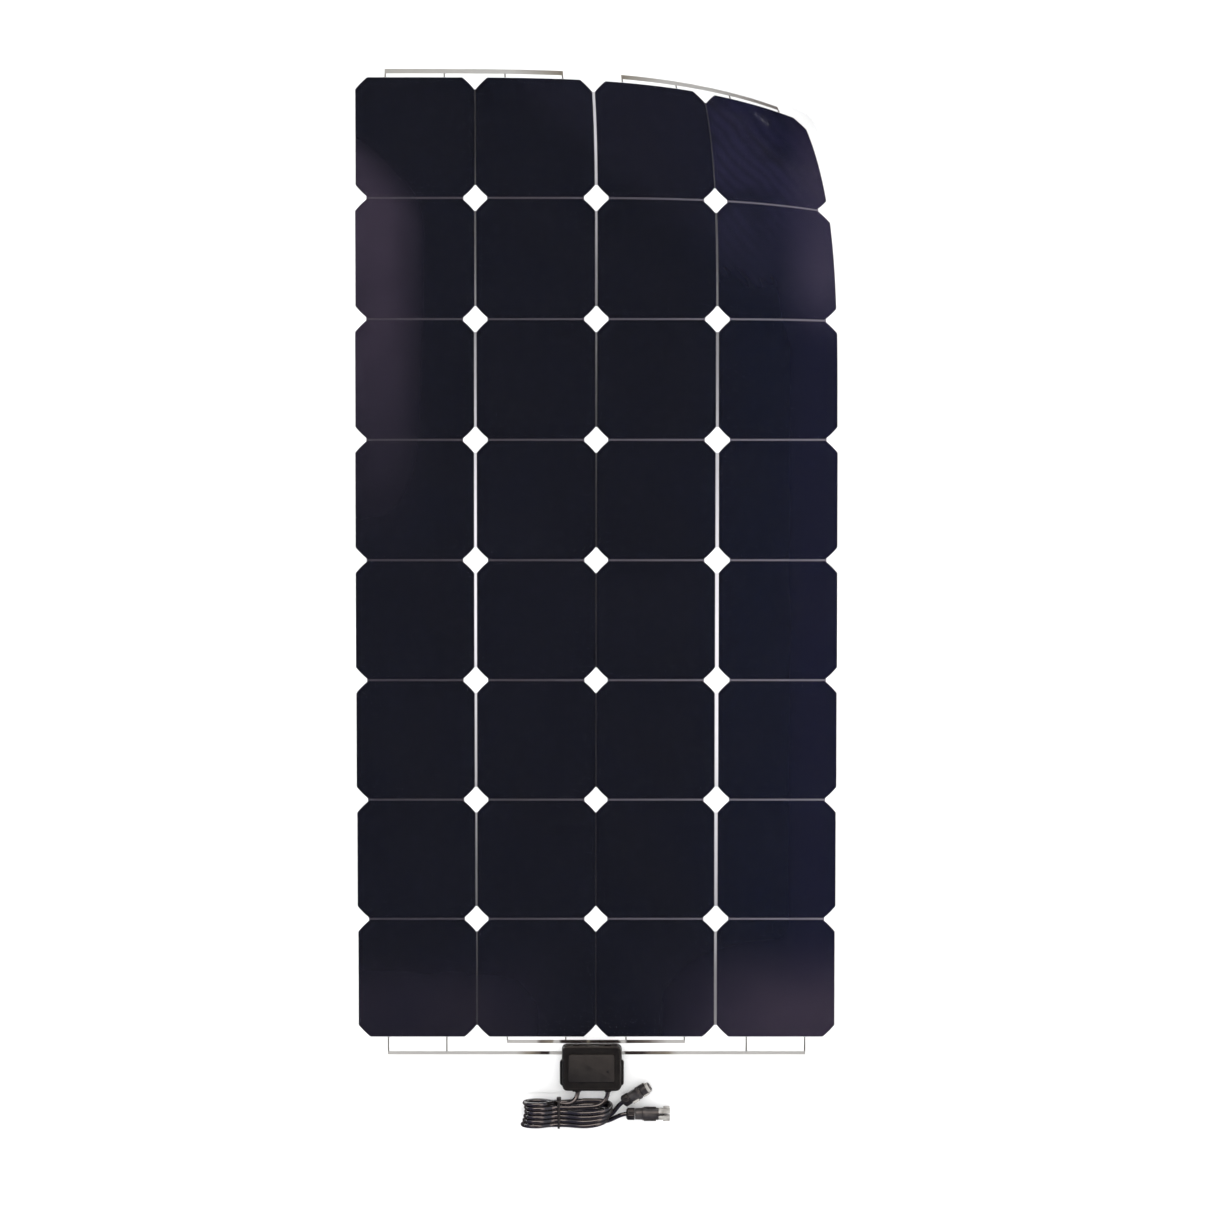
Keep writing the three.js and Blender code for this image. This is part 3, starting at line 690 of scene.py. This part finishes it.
def laminate_piece(name, outline, layer, zone, material, window=None):
    """The part of a flat outline that lies in one zone, as a thin closed plate; None if it is empty."""
    low, high = LAYERS[layer]
    first = -1e4 if zone == 0 else CURL_START + (zone - 1) * ZONE_REACH
    last = CURL_START + zone * ZONE_REACH if zone < ZONES else 1e4
    reaches = [reach_of(x, y) for x, y in outline]
    if min(reaches) >= last - 0.05 or max(reaches) <= first + 0.05:
        return None
    flat = bmesh.new()
    flat.faces.new([flat.verts.new((x, y, 0)) for x, y in outline])
    lines = []
    if zone:
        count = math.ceil(ZONE_REACH / STEP)
        lines += [first + ZONE_REACH * i / count for i in range(count + 1)]
    elif max(reaches) > last:
        lines.append(last)
    cut_lines(flat, [(ALONG * reach, ALONG) for reach in lines if min(reaches) < reach < max(reaches)])
    if window:
        across = [((x, 0, 0), (1, 0, 0)) for x in window[:2]]
        along = [((0, y, 0), (0, 1, 0)) for y in window[2:]]
        cut_lines(flat, across + along)
    outside = []
    for face in flat.faces:
        x, y, _ = face.calc_center_median()
        in_window = window and window[0] < x < window[1] and window[2] < y < window[3]
        if not first < reach_of(x, y) < last or in_window:
            outside.append(face)
    bmesh.ops.delete(flat, geom=outside, context="FACES")
    if not flat.faces:
        flat.free()
        return None
    flat.verts.index_update()
    points = [v.co.copy() for v in flat.verts]
    count = len(points)
    faces = []
    for face in flat.faces:
        ring = [v.index for v in face.verts]
        if face.normal.z < 0:
            ring.reverse()
        faces.append(ring)
        faces.append([count + i for i in reversed(ring)])
    for edge in flat.edges:
        if len(edge.link_faces) != 1:
            continue
        ring = [v.index for v in edge.link_faces[0].verts]
        if edge.link_faces[0].normal.z < 0:
            ring.reverse()
        a, b = edge.verts[0].index, edge.verts[1].index
        if ring[(ring.index(a) + 1) % len(ring)] != b:
            a, b = b, a
        faces.append([a, count + a, count + b, b])
    flat.free()
    vertices = [curled(p.x, p.y, height) * MM for height in (high, low) for p in points]
    mesh = bpy.data.meshes.new(name)
    mesh.from_pydata(vertices, [], faces)
    mesh.validate()
    return finish_mesh(name, mesh, material)


def laminate(name, outline, layer, material, nodes=(), window=None):
    """One piece in each zone that the outline reaches; the flat zone's piece rides the sheet."""
    made = []
    for zone in range(ZONES + 1):
        piece = laminate_piece(f"{name}_z{zone}", outline, layer, zone, material, window)
        if piece is None:
            continue
        if zone == 0:
            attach(piece, "sheet")
        else:
            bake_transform(piece)
        if nodes:
            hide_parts(*nodes)
        made.append(piece)
    return made


def rounded(width, depth, radius, x=0, y=0, steps=6):
    points = []
    for corner in range(4):
        cx = x + (1 if corner in (0, 3) else -1) * (width / 2 - radius)
        cy = y + (1 if corner < 2 else -1) * (depth / 2 - radius)
        for i in range(steps + 1):
            angle = math.radians(90 * (corner + i / steps))
            points.append((cx + radius * math.cos(angle), cy + radius * math.sin(angle)))
    return points


# The film is cut out under the junction box, where the ribbons come up: x from and to, y from and to.
BOX_WINDOW = (-27, 17, -511.5, -499.5)
FILM_MARGIN = 1
laminate(
    "back_sheet",
    rounded(SHEET["width"], SHEET["length"], SHEET["corner"]),
    "back",
    BACK_SHEET,
    nodes=["back_sheet"] + [f"back_sheet_curl_{k}" for k in range(1, ZONES + 1)],
)
film_size = [SHEET[side] - 2 * FILM_MARGIN for side in ("width", "length")]
laminate(
    "front_film",
    rounded(*film_size, SHEET["corner"] - FILM_MARGIN),
    "film",
    FILM,
    nodes=["front_film"],
    window=BOX_WINDOW,
)

CELL_SIZE = 125
CELL_PITCH = 127
WAFER_RADIUS = 80
COLUMNS = 4
ROWS = 8
ARRAY_Y = 19


def column_gaps(row):
    """The strings of cells lean a little, so the gaps between columns change down the sheet."""
    down = row / (ROWS - 1)
    return [
        1.3 + 1.7 * math.sin(math.pi * down),
        1.0 + 2.0 * (1 - down) ** 2,
        1.3 + 2.6 * math.sin(0.8 * math.pi * down),
    ]


def column_x(column, row):
    gaps = column_gaps(row)
    return (column - 1.5) * CELL_SIZE + sum(gaps[:column]) - sum(gaps) / 2


def row_y(row):
    return ARRAY_Y + (3.5 - row) * CELL_PITCH


def cell_outline(x, y, steps=8):
    first = math.acos(CELL_SIZE / 2 / WAFER_RADIUS)
    arc = math.pi / 2 - 2 * first
    return [
        (
            x + WAFER_RADIUS * math.cos(corner * math.pi / 2 + first + arc * i / steps),
            y + WAFER_RADIUS * math.sin(corner * math.pi / 2 + first + arc * i / steps),
        )
        for corner in range(4)
        for i in range(steps + 1)
    ]


for row in range(ROWS):
    for column in range(COLUMNS):
        node = f"cell_r{row + 1}c{column + 1}"
        outline = cell_outline(column_x(column, row), row_y(row))
        look = RIPPLED_CELL if column == COLUMNS - 1 else CELL
        if max(reach_of(x, y) for x, y in outline) > CURL_START:
            laminate(node, outline, "cell", look, nodes=[node])
        else:
            dress([node], look)


def tab_outline(x, y):
    """A strip along the gap between two cells of a column, with three pads under each of them."""
    half_length, half_width, pad, pad_reach = 51, 1.35, 5, 3.6
    top = [(-half_length, half_width)]
    for middle in (-46, 0, 46):
        top += [(middle - pad, half_width), (middle - pad + 1, pad_reach)]
        top += [(middle + pad - 1, pad_reach), (middle + pad, half_width)]
    top.append((half_length, half_width))
    outline = [(x + dx, y + dy) for dx, dy in top] + [(x + dx, y - dy) for dx, dy in reversed(top)]
    return outline[::-1]


for row in range(ROWS - 1):
    for column in range(COLUMNS):
        x = (column_x(column, row) + column_x(column, row + 1)) / 2
        y = (row_y(row) + row_y(row + 1)) / 2
        laminate(f"tab_r{row + 1}c{column + 1}", tab_outline(x, y), "tab", TAB_METAL)


# In each gap between two columns a strip lies on the back sheet, under the edges of the cells.
SPACERS = (
    spacer_material("spacer_1", 3.6, 1.3),
    spacer_material("spacer_2", -1.5, 1.5),
    spacer_material("spacer_3", 4.3, 1.6),
)
CUT_CORNER = CELL_SIZE / 2 - math.sqrt(WAFER_RADIUS**2 - (CELL_SIZE / 2) ** 2)


def rectangle(x0, x1, y0, y1):
    return [(x0, y0), (x1, y0), (x1, y1), (x0, y1)]


for row in range(ROWS):
    for column in range(COLUMNS - 1):
        middle = (column_x(column, row) + column_x(column + 1, row)) / 2
        half_width = column_gaps(row)[column] / 2 + 0.6
        half_length = CELL_SIZE / 2 - CUT_CORNER
        outline = rectangle(
            middle - half_width, middle + half_width, row_y(row) - half_length, row_y(row) + half_length
        )
        laminate(f"spacer_r{row + 1}c{column + 1}", outline, "tab", SPACERS[column])


# ---------- Ribbons ----------

TAB_FROM_CENTRE = 31
RIBBON_TAB_WIDTH = 1.4
BOX_X = -5


def ribbon_tabs(columns, row):
    return [column_x(column, row) + side * TAB_FROM_CENTRE for column in columns for side in (-1, 1)]


def ribbon(name, y, width, tabs, tab_end, material, ends=(0, 0)):
    """A straight ribbon, and the thin tabs from it to the edge of the cells.

    It ends at its outermost tabs, or where ends gives another x than 0.
    """
    x0 = min(tabs) - RIBBON_TAB_WIDTH / 2 if not ends[0] else ends[0]
    x1 = max(tabs) + RIBBON_TAB_WIDTH / 2 if not ends[1] else ends[1]
    band = rectangle(x0, x1, y - width / 2, y + width / 2)
    laminate(name, band, "cell", material, nodes=[name])
    up = 1 if tab_end > y else -1
    low, high = sorted((y + up * width / 2, tab_end))
    for i, x in enumerate(tabs):
        outline = rectangle(x - RIBBON_TAB_WIDTH / 2, x + RIBBON_TAB_WIDTH / 2, low, high)
        laminate(f"{name}_tab_{i + 1}", outline, "cell", SOLDER)


TOP_EDGE = row_y(0) + CELL_SIZE / 2 + 0.4
BOTTOM_EDGE = row_y(ROWS - 1) - CELL_SIZE / 2 - 0.4
UNDER_BOX = 10
TOP_Y, INNER_Y, OUTER_Y = TOP_EDGE + 6, BOTTOM_EDGE - 4.8, BOTTOM_EDGE - 17
TOP_WIDTH = 4.6
LOW_WIDTH = 3.4
LAST_ROW = ROWS - 1
for name, columns, foil_look in (
    ("ribbon_top_left", (0, 1), TOP_LEFT_FOIL),
    ("ribbon_top_right", (2, 3), TOP_RIGHT_FOIL),
):
    ribbon(name, TOP_Y, TOP_WIDTH, ribbon_tabs(columns, 0), TOP_EDGE, foil_look)
for name, y, columns, foil_look, ends in (
    ("ribbon_bottom_centre", INNER_Y, (1, 2), INNER_FOIL, (0, 0)),
    ("ribbon_bottom_left", OUTER_Y, (0,), OUTER_FOIL, (0, BOX_X - UNDER_BOX)),
    ("ribbon_bottom_right", OUTER_Y, (3,), OUTER_FOIL, (BOX_X + UNDER_BOX, 0)),
):
    ribbon(name, y, LOW_WIDTH, ribbon_tabs(columns, LAST_ROW), BOTTOM_EDGE, foil_look, ends=ends)


# ---------- Building small parts ----------

def turned(build, profile, segments=48, hollow=False, flutes=0, flute_depth=0.0, fluted=(0, 0)):
    """Turns a profile of (along, radius) about the part's own X axis; a hollow one closes on itself.

    Between the two lengths in fluted, the outermost rings get that many grooves.
    """
    outermost = max(radius for _, radius in profile)
    rings = []
    for along, radius in profile:
        if radius == 0:
            rings.append([build.verts.new((along, 0, 0))])
            continue
        ring = []
        for i in range(segments):
            angle = 2 * math.pi * i / segments
            reach = radius
            if flutes and fluted[0] < along < fluted[1] and radius > outermost - 0.5:
                reach -= flute_depth * (0.5 + 0.5 * math.cos(flutes * angle)) ** 2
            ring.append(build.verts.new((along, reach * math.cos(angle), reach * math.sin(angle))))
        rings.append(ring)
    pairs = list(zip(rings, rings[1:]))
    if hollow:
        pairs.append((rings[-1], rings[0]))
    for a, b in pairs:
        for i in range(segments):
            j = (i + 1) % segments
            corners = [a[i % len(a)], a[j % len(a)], b[j % len(b)], b[i % len(b)]]
            build.faces.new(list(dict.fromkeys(corners)))


def prism(build, outline, low, high):
    """An outline in X and Y, pulled up from low to high."""
    bottom = [build.verts.new((x, y, low)) for x, y in outline]
    top = [build.verts.new((x, y, high)) for x, y in outline]
    build.faces.new(bottom[::-1])
    build.faces.new(top)
    for i in range(len(outline)):
        j = (i + 1) % len(outline)
        build.faces.new((bottom[i], bottom[j], top[j], top[i]))


def ring_prism(build, outline, inner, low, high):
    """The space between two outlines with the same number of points, pulled up from low to high."""
    edges = ((outline, low), (outline, high), (inner, high), (inner, low))
    loops = [[build.verts.new((x, y, z)) for x, y in points] for points, z in edges]
    for a, b in zip(loops, loops[1:] + loops[:1]):
        for i in range(len(outline)):
            j = (i + 1) % len(outline)
            build.faces.new((a[i], a[j], b[j], b[i]))


def part(name, build, material, body, nodes=(), place=None, bevel=0.0, sharp=38):
    """Makes a piece from a bmesh in millimetres, with its sharp edges rounded by bevel."""
    bmesh.ops.recalc_face_normals(build, faces=build.faces[:])
    if bevel:
        build.normal_update()
        edges = [
            e
            for e in build.edges
            if len(e.link_faces) == 2 and e.calc_face_angle(0) > math.radians(sharp)
        ]
        bmesh.ops.bevel(
            build, geom=edges, offset=bevel, segments=2, profile=0.5, affect="EDGES", clamp_overlap=True
        )
    matrix = Matrix.Scale(MM, 4)
    if place:
        turn = Matrix.Rotation(math.radians(place["heading"]), 4, "Z")
        nose_up = Matrix.Rotation(math.radians(-place["pitch"]), 4, "Y")
        matrix = matrix @ Matrix.Translation(place["at"]) @ turn @ nose_up
    bmesh.ops.transform(build, matrix=matrix, verts=build.verts[:])
    mesh = bpy.data.meshes.new(name)
    build.to_mesh(mesh)
    build.free()
    piece = finish_mesh(name, mesh, material, sharp=32)
    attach(piece, body)
    if nodes:
        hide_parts(*nodes)
    return piece


# ---------- Parts that the CAD gives as they are ----------

dress(["box_base", "box_lid"], BOX_PLASTIC, 0.35)
dress(["box_gasket"], RUBBER, 0.1)
dress(["strain_relief_left", "strain_relief_right"], RUBBER, 0.3)
dress(["terminal_left", "terminal_right"], TIN, 0.2)
dress(["bypass_diode"], EPOXY, 0.15)


# ---------- Junction box ----------

BOX = {"x": BOX_X, "y": -520, "width": 62, "depth": 48, "corner": 5, "top": 17.6, "shoulder": 15.7}
PANEL = {"width": 48.6, "depth": 29, "corner": 2.2, "x": BOX["x"] - 0.5, "y": BOX["y"] + 0.5}
FILM_TOP = LAYERS["film"][1]

build = bmesh.new()
panel_outline = rounded(PANEL["width"], PANEL["depth"], PANEL["corner"], PANEL["x"], PANEL["y"])
prism(build, panel_outline, BOX["top"] - 0.3, BOX["top"] + 0.25)
part("lid_panel", build, PANEL_PLASTIC, "lid", bevel=0.15)

# A low rim runs round the lid's shoulder, and a shallow groove is left between it and the panel.
build = bmesh.new()
ring_prism(
    build,
    rounded(BOX["width"] - 3.4, BOX["depth"] - 3.4, BOX["corner"] - 1.7, BOX["x"], BOX["y"]),
    rounded(BOX["width"] - 5.4, BOX["depth"] - 5.4, BOX["corner"] - 2.7, BOX["x"], BOX["y"]),
    BOX["shoulder"] - 0.3,
    BOX["shoulder"] + 0.45,
)
part("lid_rim", build, BOX_PLASTIC, "lid", bevel=0.2)

# The moulding gate left on the panel.
build = bmesh.new()
turned(build, [(0, 0), (0, 1.2), (0.35, 1.2), (0.5, 1.0), (0.5, 0.55), (0.2, 0.4), (0.2, 0)], 32)
up_place = {"at": (12, -522.7, BOX["top"] + 0.15), "heading": 0, "pitch": 90}
part("lid_gate_mark", build, NUT_PLASTIC, "lid", place=up_place)

# Four latches on the base reach up over the lid's edge, two on each long side.
for i, (dx, side) in enumerate(((-17, 1), (17, 1), (-17, -1), (17, -1))):
    build = bmesh.new()
    x, y = BOX["x"] + dx, BOX["y"] + side * (BOX["depth"] / 2 + 0.55)
    prism(build, rounded(7, 1.3, 0.5, x, y, 3), 6.5, 13.2)
    part(f"box_latch_{i + 1}", build, BOX_PLASTIC, "sheet", bevel=0.2)

# A bead of sealant where the base meets the film.
build = bmesh.new()
ring_prism(
    build,
    rounded(BOX["width"] + 1.6, BOX["depth"] + 1.6, BOX["corner"] + 0.8, BOX["x"], BOX["y"], 8),
    rounded(BOX["width"] - 0.6, BOX["depth"] - 0.6, BOX["corner"] - 0.3, BOX["x"], BOX["y"], 8),
    FILM_TOP + 0.02,
    FILM_TOP + 0.9,
)
part("box_sealant", build, SEALANT, "sheet", bevel=0.35)


# ---------- Tie and connectors ----------

# The tie is a slim band round the hank, with its head toward the box and its cut tail in the head.
# An outline lying in X and Y is stood up by LYING, so that it faces along X.
LYING = Matrix(((0, 0, 1, 0), (1, 0, 0, 0), (0, 1, 0, 0), (0, 0, 0, 1)))
TIE = {
    "width": 2.4,
    "thickness": 1.0,
    "across": 28.6,
    "high": 15.8,
    "corner": 2.4,
    "middle": (TIE_X, -567.8, HANK_MIDDLE),
}
TAIL_Y = -551.4
build = bmesh.new()
ring_prism(
    build,
    rounded(TIE["across"] + 2 * TIE["thickness"], TIE["high"] + 2 * TIE["thickness"], TIE["corner"]),
    rounded(TIE["across"], TIE["high"], TIE["corner"] - TIE["thickness"]),
    -TIE["width"] / 2,
    TIE["width"] / 2,
)
bmesh.ops.transform(build, matrix=LYING, verts=build.verts[:])
tie_place = {"at": TIE["middle"], "heading": 0, "pitch": 0}
tie_band = part(
    "tie_band",
    build,
    TIE_PLASTIC,
    "sheet",
    nodes=["cable_tie"],
    place=tie_place,
    bevel=0.25,
)
build = bmesh.new()
prism(build, rounded(4.8, 3.4, 0.8, TIE_X, TAIL_Y + 0.1, 4), 17.4, 22.8)
tie_head = part("tie_head", build, TIE_PLASTIC, "sheet", nodes=["cable_tie"], bevel=0.4)
build = bmesh.new()
tail_half = TIE["width"] / 2
tail_outline = rectangle(TIE_X - tail_half, TIE_X + tail_half, TAIL_Y - 0.5, TAIL_Y + 0.5)
prism(build, tail_outline, 22.4, 25.2)
tie_tail = part("tie_tail", build, TIE_PLASTIC, "sheet", bevel=0.2)

# The pieces that go with each lead: its connector's, and the tie's with the right one.
on_lead = {"left": [], "right": [tie_band, tie_head, tie_tail]}


def on_connector(
    name, side, build, material, body="sheet", nodes=(), bevel=0.0
):
    """A piece made in a connector's own frame, with X along it from its nut to its mouth, and Z up."""
    piece = part(name, build, material, body, nodes=nodes, place=CONNECTOR[side], bevel=bevel)
    on_lead[side].append(piece)


def side_block(name, side, x0, x1, y0, y1, z0, z1, material, bevel=0.3):
    build = bmesh.new()
    prism(build, rectangle(x0, x1, y0, y1), z0, z1)
    on_connector(name, side, build, material, bevel=bevel)


# Profiles are (along, radius), from the cable's end to the mouth.
NUT_PROFILE = [
    (0, 2.5), (0, 4.3), (0.5, 5.1), (1.1, 5.9), (1.8, 6.4), (4.8, 6.45), (8.2, 6.4), (8.9, 6.0),
    (9, 2.5),
]
PLUG_PROFILE = [
    (9.3, 0), (9.3, 5.7), (9.6, 6.0), (17.6, 6.2), (18.2, 6.85), (21.2, 6.85), (21.9, 5.4),
    (22.6, 5.35), (22.8, 4.9), (23.8, 4.9), (24.0, 5.35), (30.6, 5.3), (33.4, 4.7), (33.8, 4.3),
    (33.8, 3.1), (31.6, 3.0), (31.6, 0),
]
SOCKET_PROFILE = [
    (9.3, 0), (9.3, 5.7), (9.6, 6.0), (16.6, 6.25), (17.4, 6.85), (21.0, 6.85), (21.8, 6.4),
    (34.2, 6.4), (34.8, 6.0), (34.8, 5.15), (31.3, 5.1), (31.3, 0),
]
SEAL_PROFILE = [(22.75, 4.7), (22.75, 5.3), (23.0, 5.65), (23.6, 5.65), (23.85, 5.3), (23.85, 4.7)]
COLLAR_PROFILE = [(29.9, 5.1), (29.9, 5.75), (30.4, 5.9), (32.7, 5.45), (33.0, 5.1), (33.0, 4.6)]
CONTACT_PROFILE = [(30, 0), (30, 1.9), (34.1, 1.9), (34.5, 1.6), (34.5, 1.2), (32, 1.1), (32, 0)]
PIN_PROFILE = [(31, 0), (31, 1.5), (42.5, 1.5), (43.6, 0.8), (43.8, 0)]
PLUG_FLUTES = {"flutes": 14, "flute_depth": 0.45, "fluted": (18, 21.4)}
for side, kind, profile, flutes in (
    ("left", "plug", PLUG_PROFILE, PLUG_FLUTES),
    ("right", "socket", SOCKET_PROFILE, {}),
):
    build = bmesh.new()
    turned(build, NUT_PROFILE, 96, hollow=True, flutes=16, flute_depth=0.55, fluted=(1.5, 8.6))
    on_connector(
        f"{kind}_nut_ring",
        side,
        build,
        NUT_PLASTIC,
        body=f"{kind}_nut_turner",
        nodes=[f"{kind}_nut"],
    )
    build = bmesh.new()
    turned(build, profile, 56, **flutes)
    on_connector(f"{kind}_sleeve", side, build, SLEEVE_PLASTIC, nodes=[f"{kind}_body"], bevel=0.12)

# The plug: latch ribs, a grip on the side away from the box, a seal ring, a collar and the contact. The
# lower rib, the grip and the collar are pale grey as a painted highlight.
side_block("plug_rib_upper", "left", 22.3, 29.4, 4.4, 6.9, -1.8, 1.8, SLEEVE_PLASTIC)
side_block("plug_rib_lower", "left", 22.3, 29.4, -6.9, -4.4, -1.8, 1.8, PAINTED_HIGHLIGHT_PLASTIC)
side_block("plug_grip", "left", 9.9, 17.4, -7.3, -4.6, -2.6, 4.2, PAINTED_HIGHLIGHT_PLASTIC, bevel=0.5)
build = bmesh.new()
turned(build, SEAL_PROFILE, 48, hollow=True)
on_connector("plug_seal", "left", build, RUBBER)
build = bmesh.new()
turned(build, COLLAR_PROFILE, 48, hollow=True)
on_connector("plug_collar", "left", build, PAINTED_HIGHLIGHT_PLASTIC)
build = bmesh.new()
turned(build, CONTACT_PROFILE, 32)
on_connector("plug_contact", "left", build, TIN)

# The socket: four fingers round its mouth, two latch arms, and the contact pin inside; the fingers and
# the catches are pale grey as a painted highlight.
FINGER = {"from": 32.5, "to": 46.3, "inner": 4.9, "outer": 6.35, "half_angle": 31}
for i in range(4):
    build = bmesh.new()
    outline, steps = [], 8
    for radius, order in ((FINGER["outer"], range(steps + 1)), (FINGER["inner"], range(steps, -1, -1))):
        for k in order:
            angle = math.radians(45 + 90 * i + FINGER["half_angle"] * (2 * k / steps - 1))
            outline.append((radius * math.cos(angle), radius * math.sin(angle)))
    prism(build, outline, FINGER["from"], FINGER["to"])
    bmesh.ops.transform(build, matrix=LYING, verts=build.verts[:])
    on_connector(f"socket_finger_{i + 1}", "right", build, PAINTED_HIGHLIGHT_PLASTIC, bevel=0.25)
for name, y0, y1 in (("socket_latch_upper", 5.9, 7.4), ("socket_latch_lower", -7.4, -5.9)):
    side_block(name, "right", 18.6, 31.5, y0, y1, -1.9, 1.9, NUT_PLASTIC)
for name, y0, y1 in (("socket_catch_upper", 6.0, 8.2), ("socket_catch_lower", -7.6, -6.0)):
    side_block(name, "right", 39.2, 46.0, y0, y1, -1.6, 1.6, PAINTED_HIGHLIGHT_PLASTIC)
build = bmesh.new()
turned(build, PIN_PROFILE, 32)
on_connector("socket_pin", "right", build, TIN)


# ---------- Floor and light ----------

floor_mesh = bpy.data.meshes.new("floor")
floor_build = bmesh.new()
bmesh.ops.create_circle(floor_build, cap_ends=True, segments=96, radius=1.2)
floor_build.to_mesh(floor_mesh)
floor_build.free()
floor = bpy.data.objects.new("floor", floor_mesh)
floor.location.z = -0.0006
bpy.context.collection.objects.link(floor)

# Glossy surfaces reflect the floor as dimmer than it is, as they do the room's low part.
FLOOR_REFLECTED = (0.11, 0.095, 0.105, 1)
FLOOR = new_material("floor", (0.93, 0.93, 0.93), 0.8)
floor_tree = FLOOR.node_tree
floor_dim = floor_tree.nodes.new("ShaderNodeEmission")
floor_dim.inputs["Color"].default_value = FLOOR_REFLECTED
floor_rays = floor_tree.nodes.new("ShaderNodeLightPath")
floor_choice = floor_tree.nodes.new("ShaderNodeMixShader")
floor_shader = floor_tree.nodes["Principled BSDF"]
floor_output = floor_tree.nodes["Material Output"]
floor_tree.links.new(floor_rays.outputs["Is Glossy Ray"], floor_choice.inputs["Fac"])
floor_tree.links.new(floor_shader.outputs["BSDF"], floor_choice.inputs[1])
floor_tree.links.new(floor_dim.outputs["Emission"], floor_choice.inputs[2])
floor_tree.links.new(floor_choice.outputs["Shader"], floor_output.inputs["Surface"])
floor_mesh.materials.append(FLOOR)

# The camera sees a white room. Dull surfaces are lit by it too, less from low down behind the
# curled corner, so that the corner's underside is shaded. What glossy surfaces reflect is drawn
# apart: dark overhead, bright boxes of light high on the sides, brightest to the north, dim low
# down, and dim and violet to the south-west, which the curled corner faces.
ROOM_LIGHT = 1.75
WHITE = (1, 1, 1, 1)
BEHIND_CORNER = (0.30, 0.30, 0.32, 1)
OVERHEAD = (0.05, 0.05, 0.075, 1)
SIDE_BOXES = (1.35, 1.12, 1.05, 1)
NORTH_BOX = (3.4, 2.8, 2.5, 1)
LOW_DOWN = (0.30, 0.30, 0.36, 1)
CORNER_SIDE = (0.13, 0.12, 0.20, 1)

world = bpy.data.worlds.new("studio")
bpy.context.scene.world = world
world.use_nodes = True
world.cycles.sampling_method = "NONE"
tree = world.node_tree
direction = tree.nodes.new("ShaderNodeTexCoord").outputs["Generated"]
rays = tree.nodes.new("ShaderNodeLightPath")


def along_direction(x, y, z):
    """The cosine of the angle between the way a ray goes and (x, y, z)."""
    dot = tree.nodes.new("ShaderNodeVectorMath")
    dot.operation = "DOT_PRODUCT"
    dot.inputs[1].default_value = (x, y, z)
    tree.links.new(direction, dot.inputs[0])
    return dot.outputs["Value"]


height = along_direction(0, 0, 1)
north = along_direction(0, 1, 0)
corner_side = along_direction(-ALONG.x, -ALONG.y, 0)
boxes = mixed(tree, ease(tree, north, 0.30, 0.60), SIDE_BOXES, NORTH_BOX)
around = mixed(tree, ease(tree, height, 0.66, 0.52), boxes, LOW_DOWN)
around = mixed(tree, ease(tree, corner_side, 0.05, 0.30), around, CORNER_SIDE)
room = mixed(tree, ease(tree, height, 0.95, 0.80), OVERHEAD, around)

behind = combined(
    tree,
    "MULTIPLY",
    rays.outputs["Is Diffuse Ray"],
    ease(tree, height, 0.55, 0.05),
    ease(tree, corner_side, 0.3, -0.3),
)
background = tree.nodes["Background"]
tree.links.new(mixed(tree, behind, WHITE, BEHIND_CORNER), background.inputs["Color"])
background.inputs["Strength"].default_value = ROOM_LIGHT
reflected = tree.nodes.new("ShaderNodeBackground")
tree.links.new(room, reflected.inputs["Color"])
choice = tree.nodes.new("ShaderNodeMixShader")
tree.links.new(rays.outputs["Is Glossy Ray"], choice.inputs["Fac"])
tree.links.new(background.outputs["Background"], choice.inputs[1])
tree.links.new(reflected.outputs["Background"], choice.inputs[2])
tree.links.new(choice.outputs["Shader"], tree.nodes["World Output"].inputs["Surface"])

bpy.context.scene.view_settings.view_transform = "Standard"


# ---------- End ----------

bpy.context.view_layer.update()
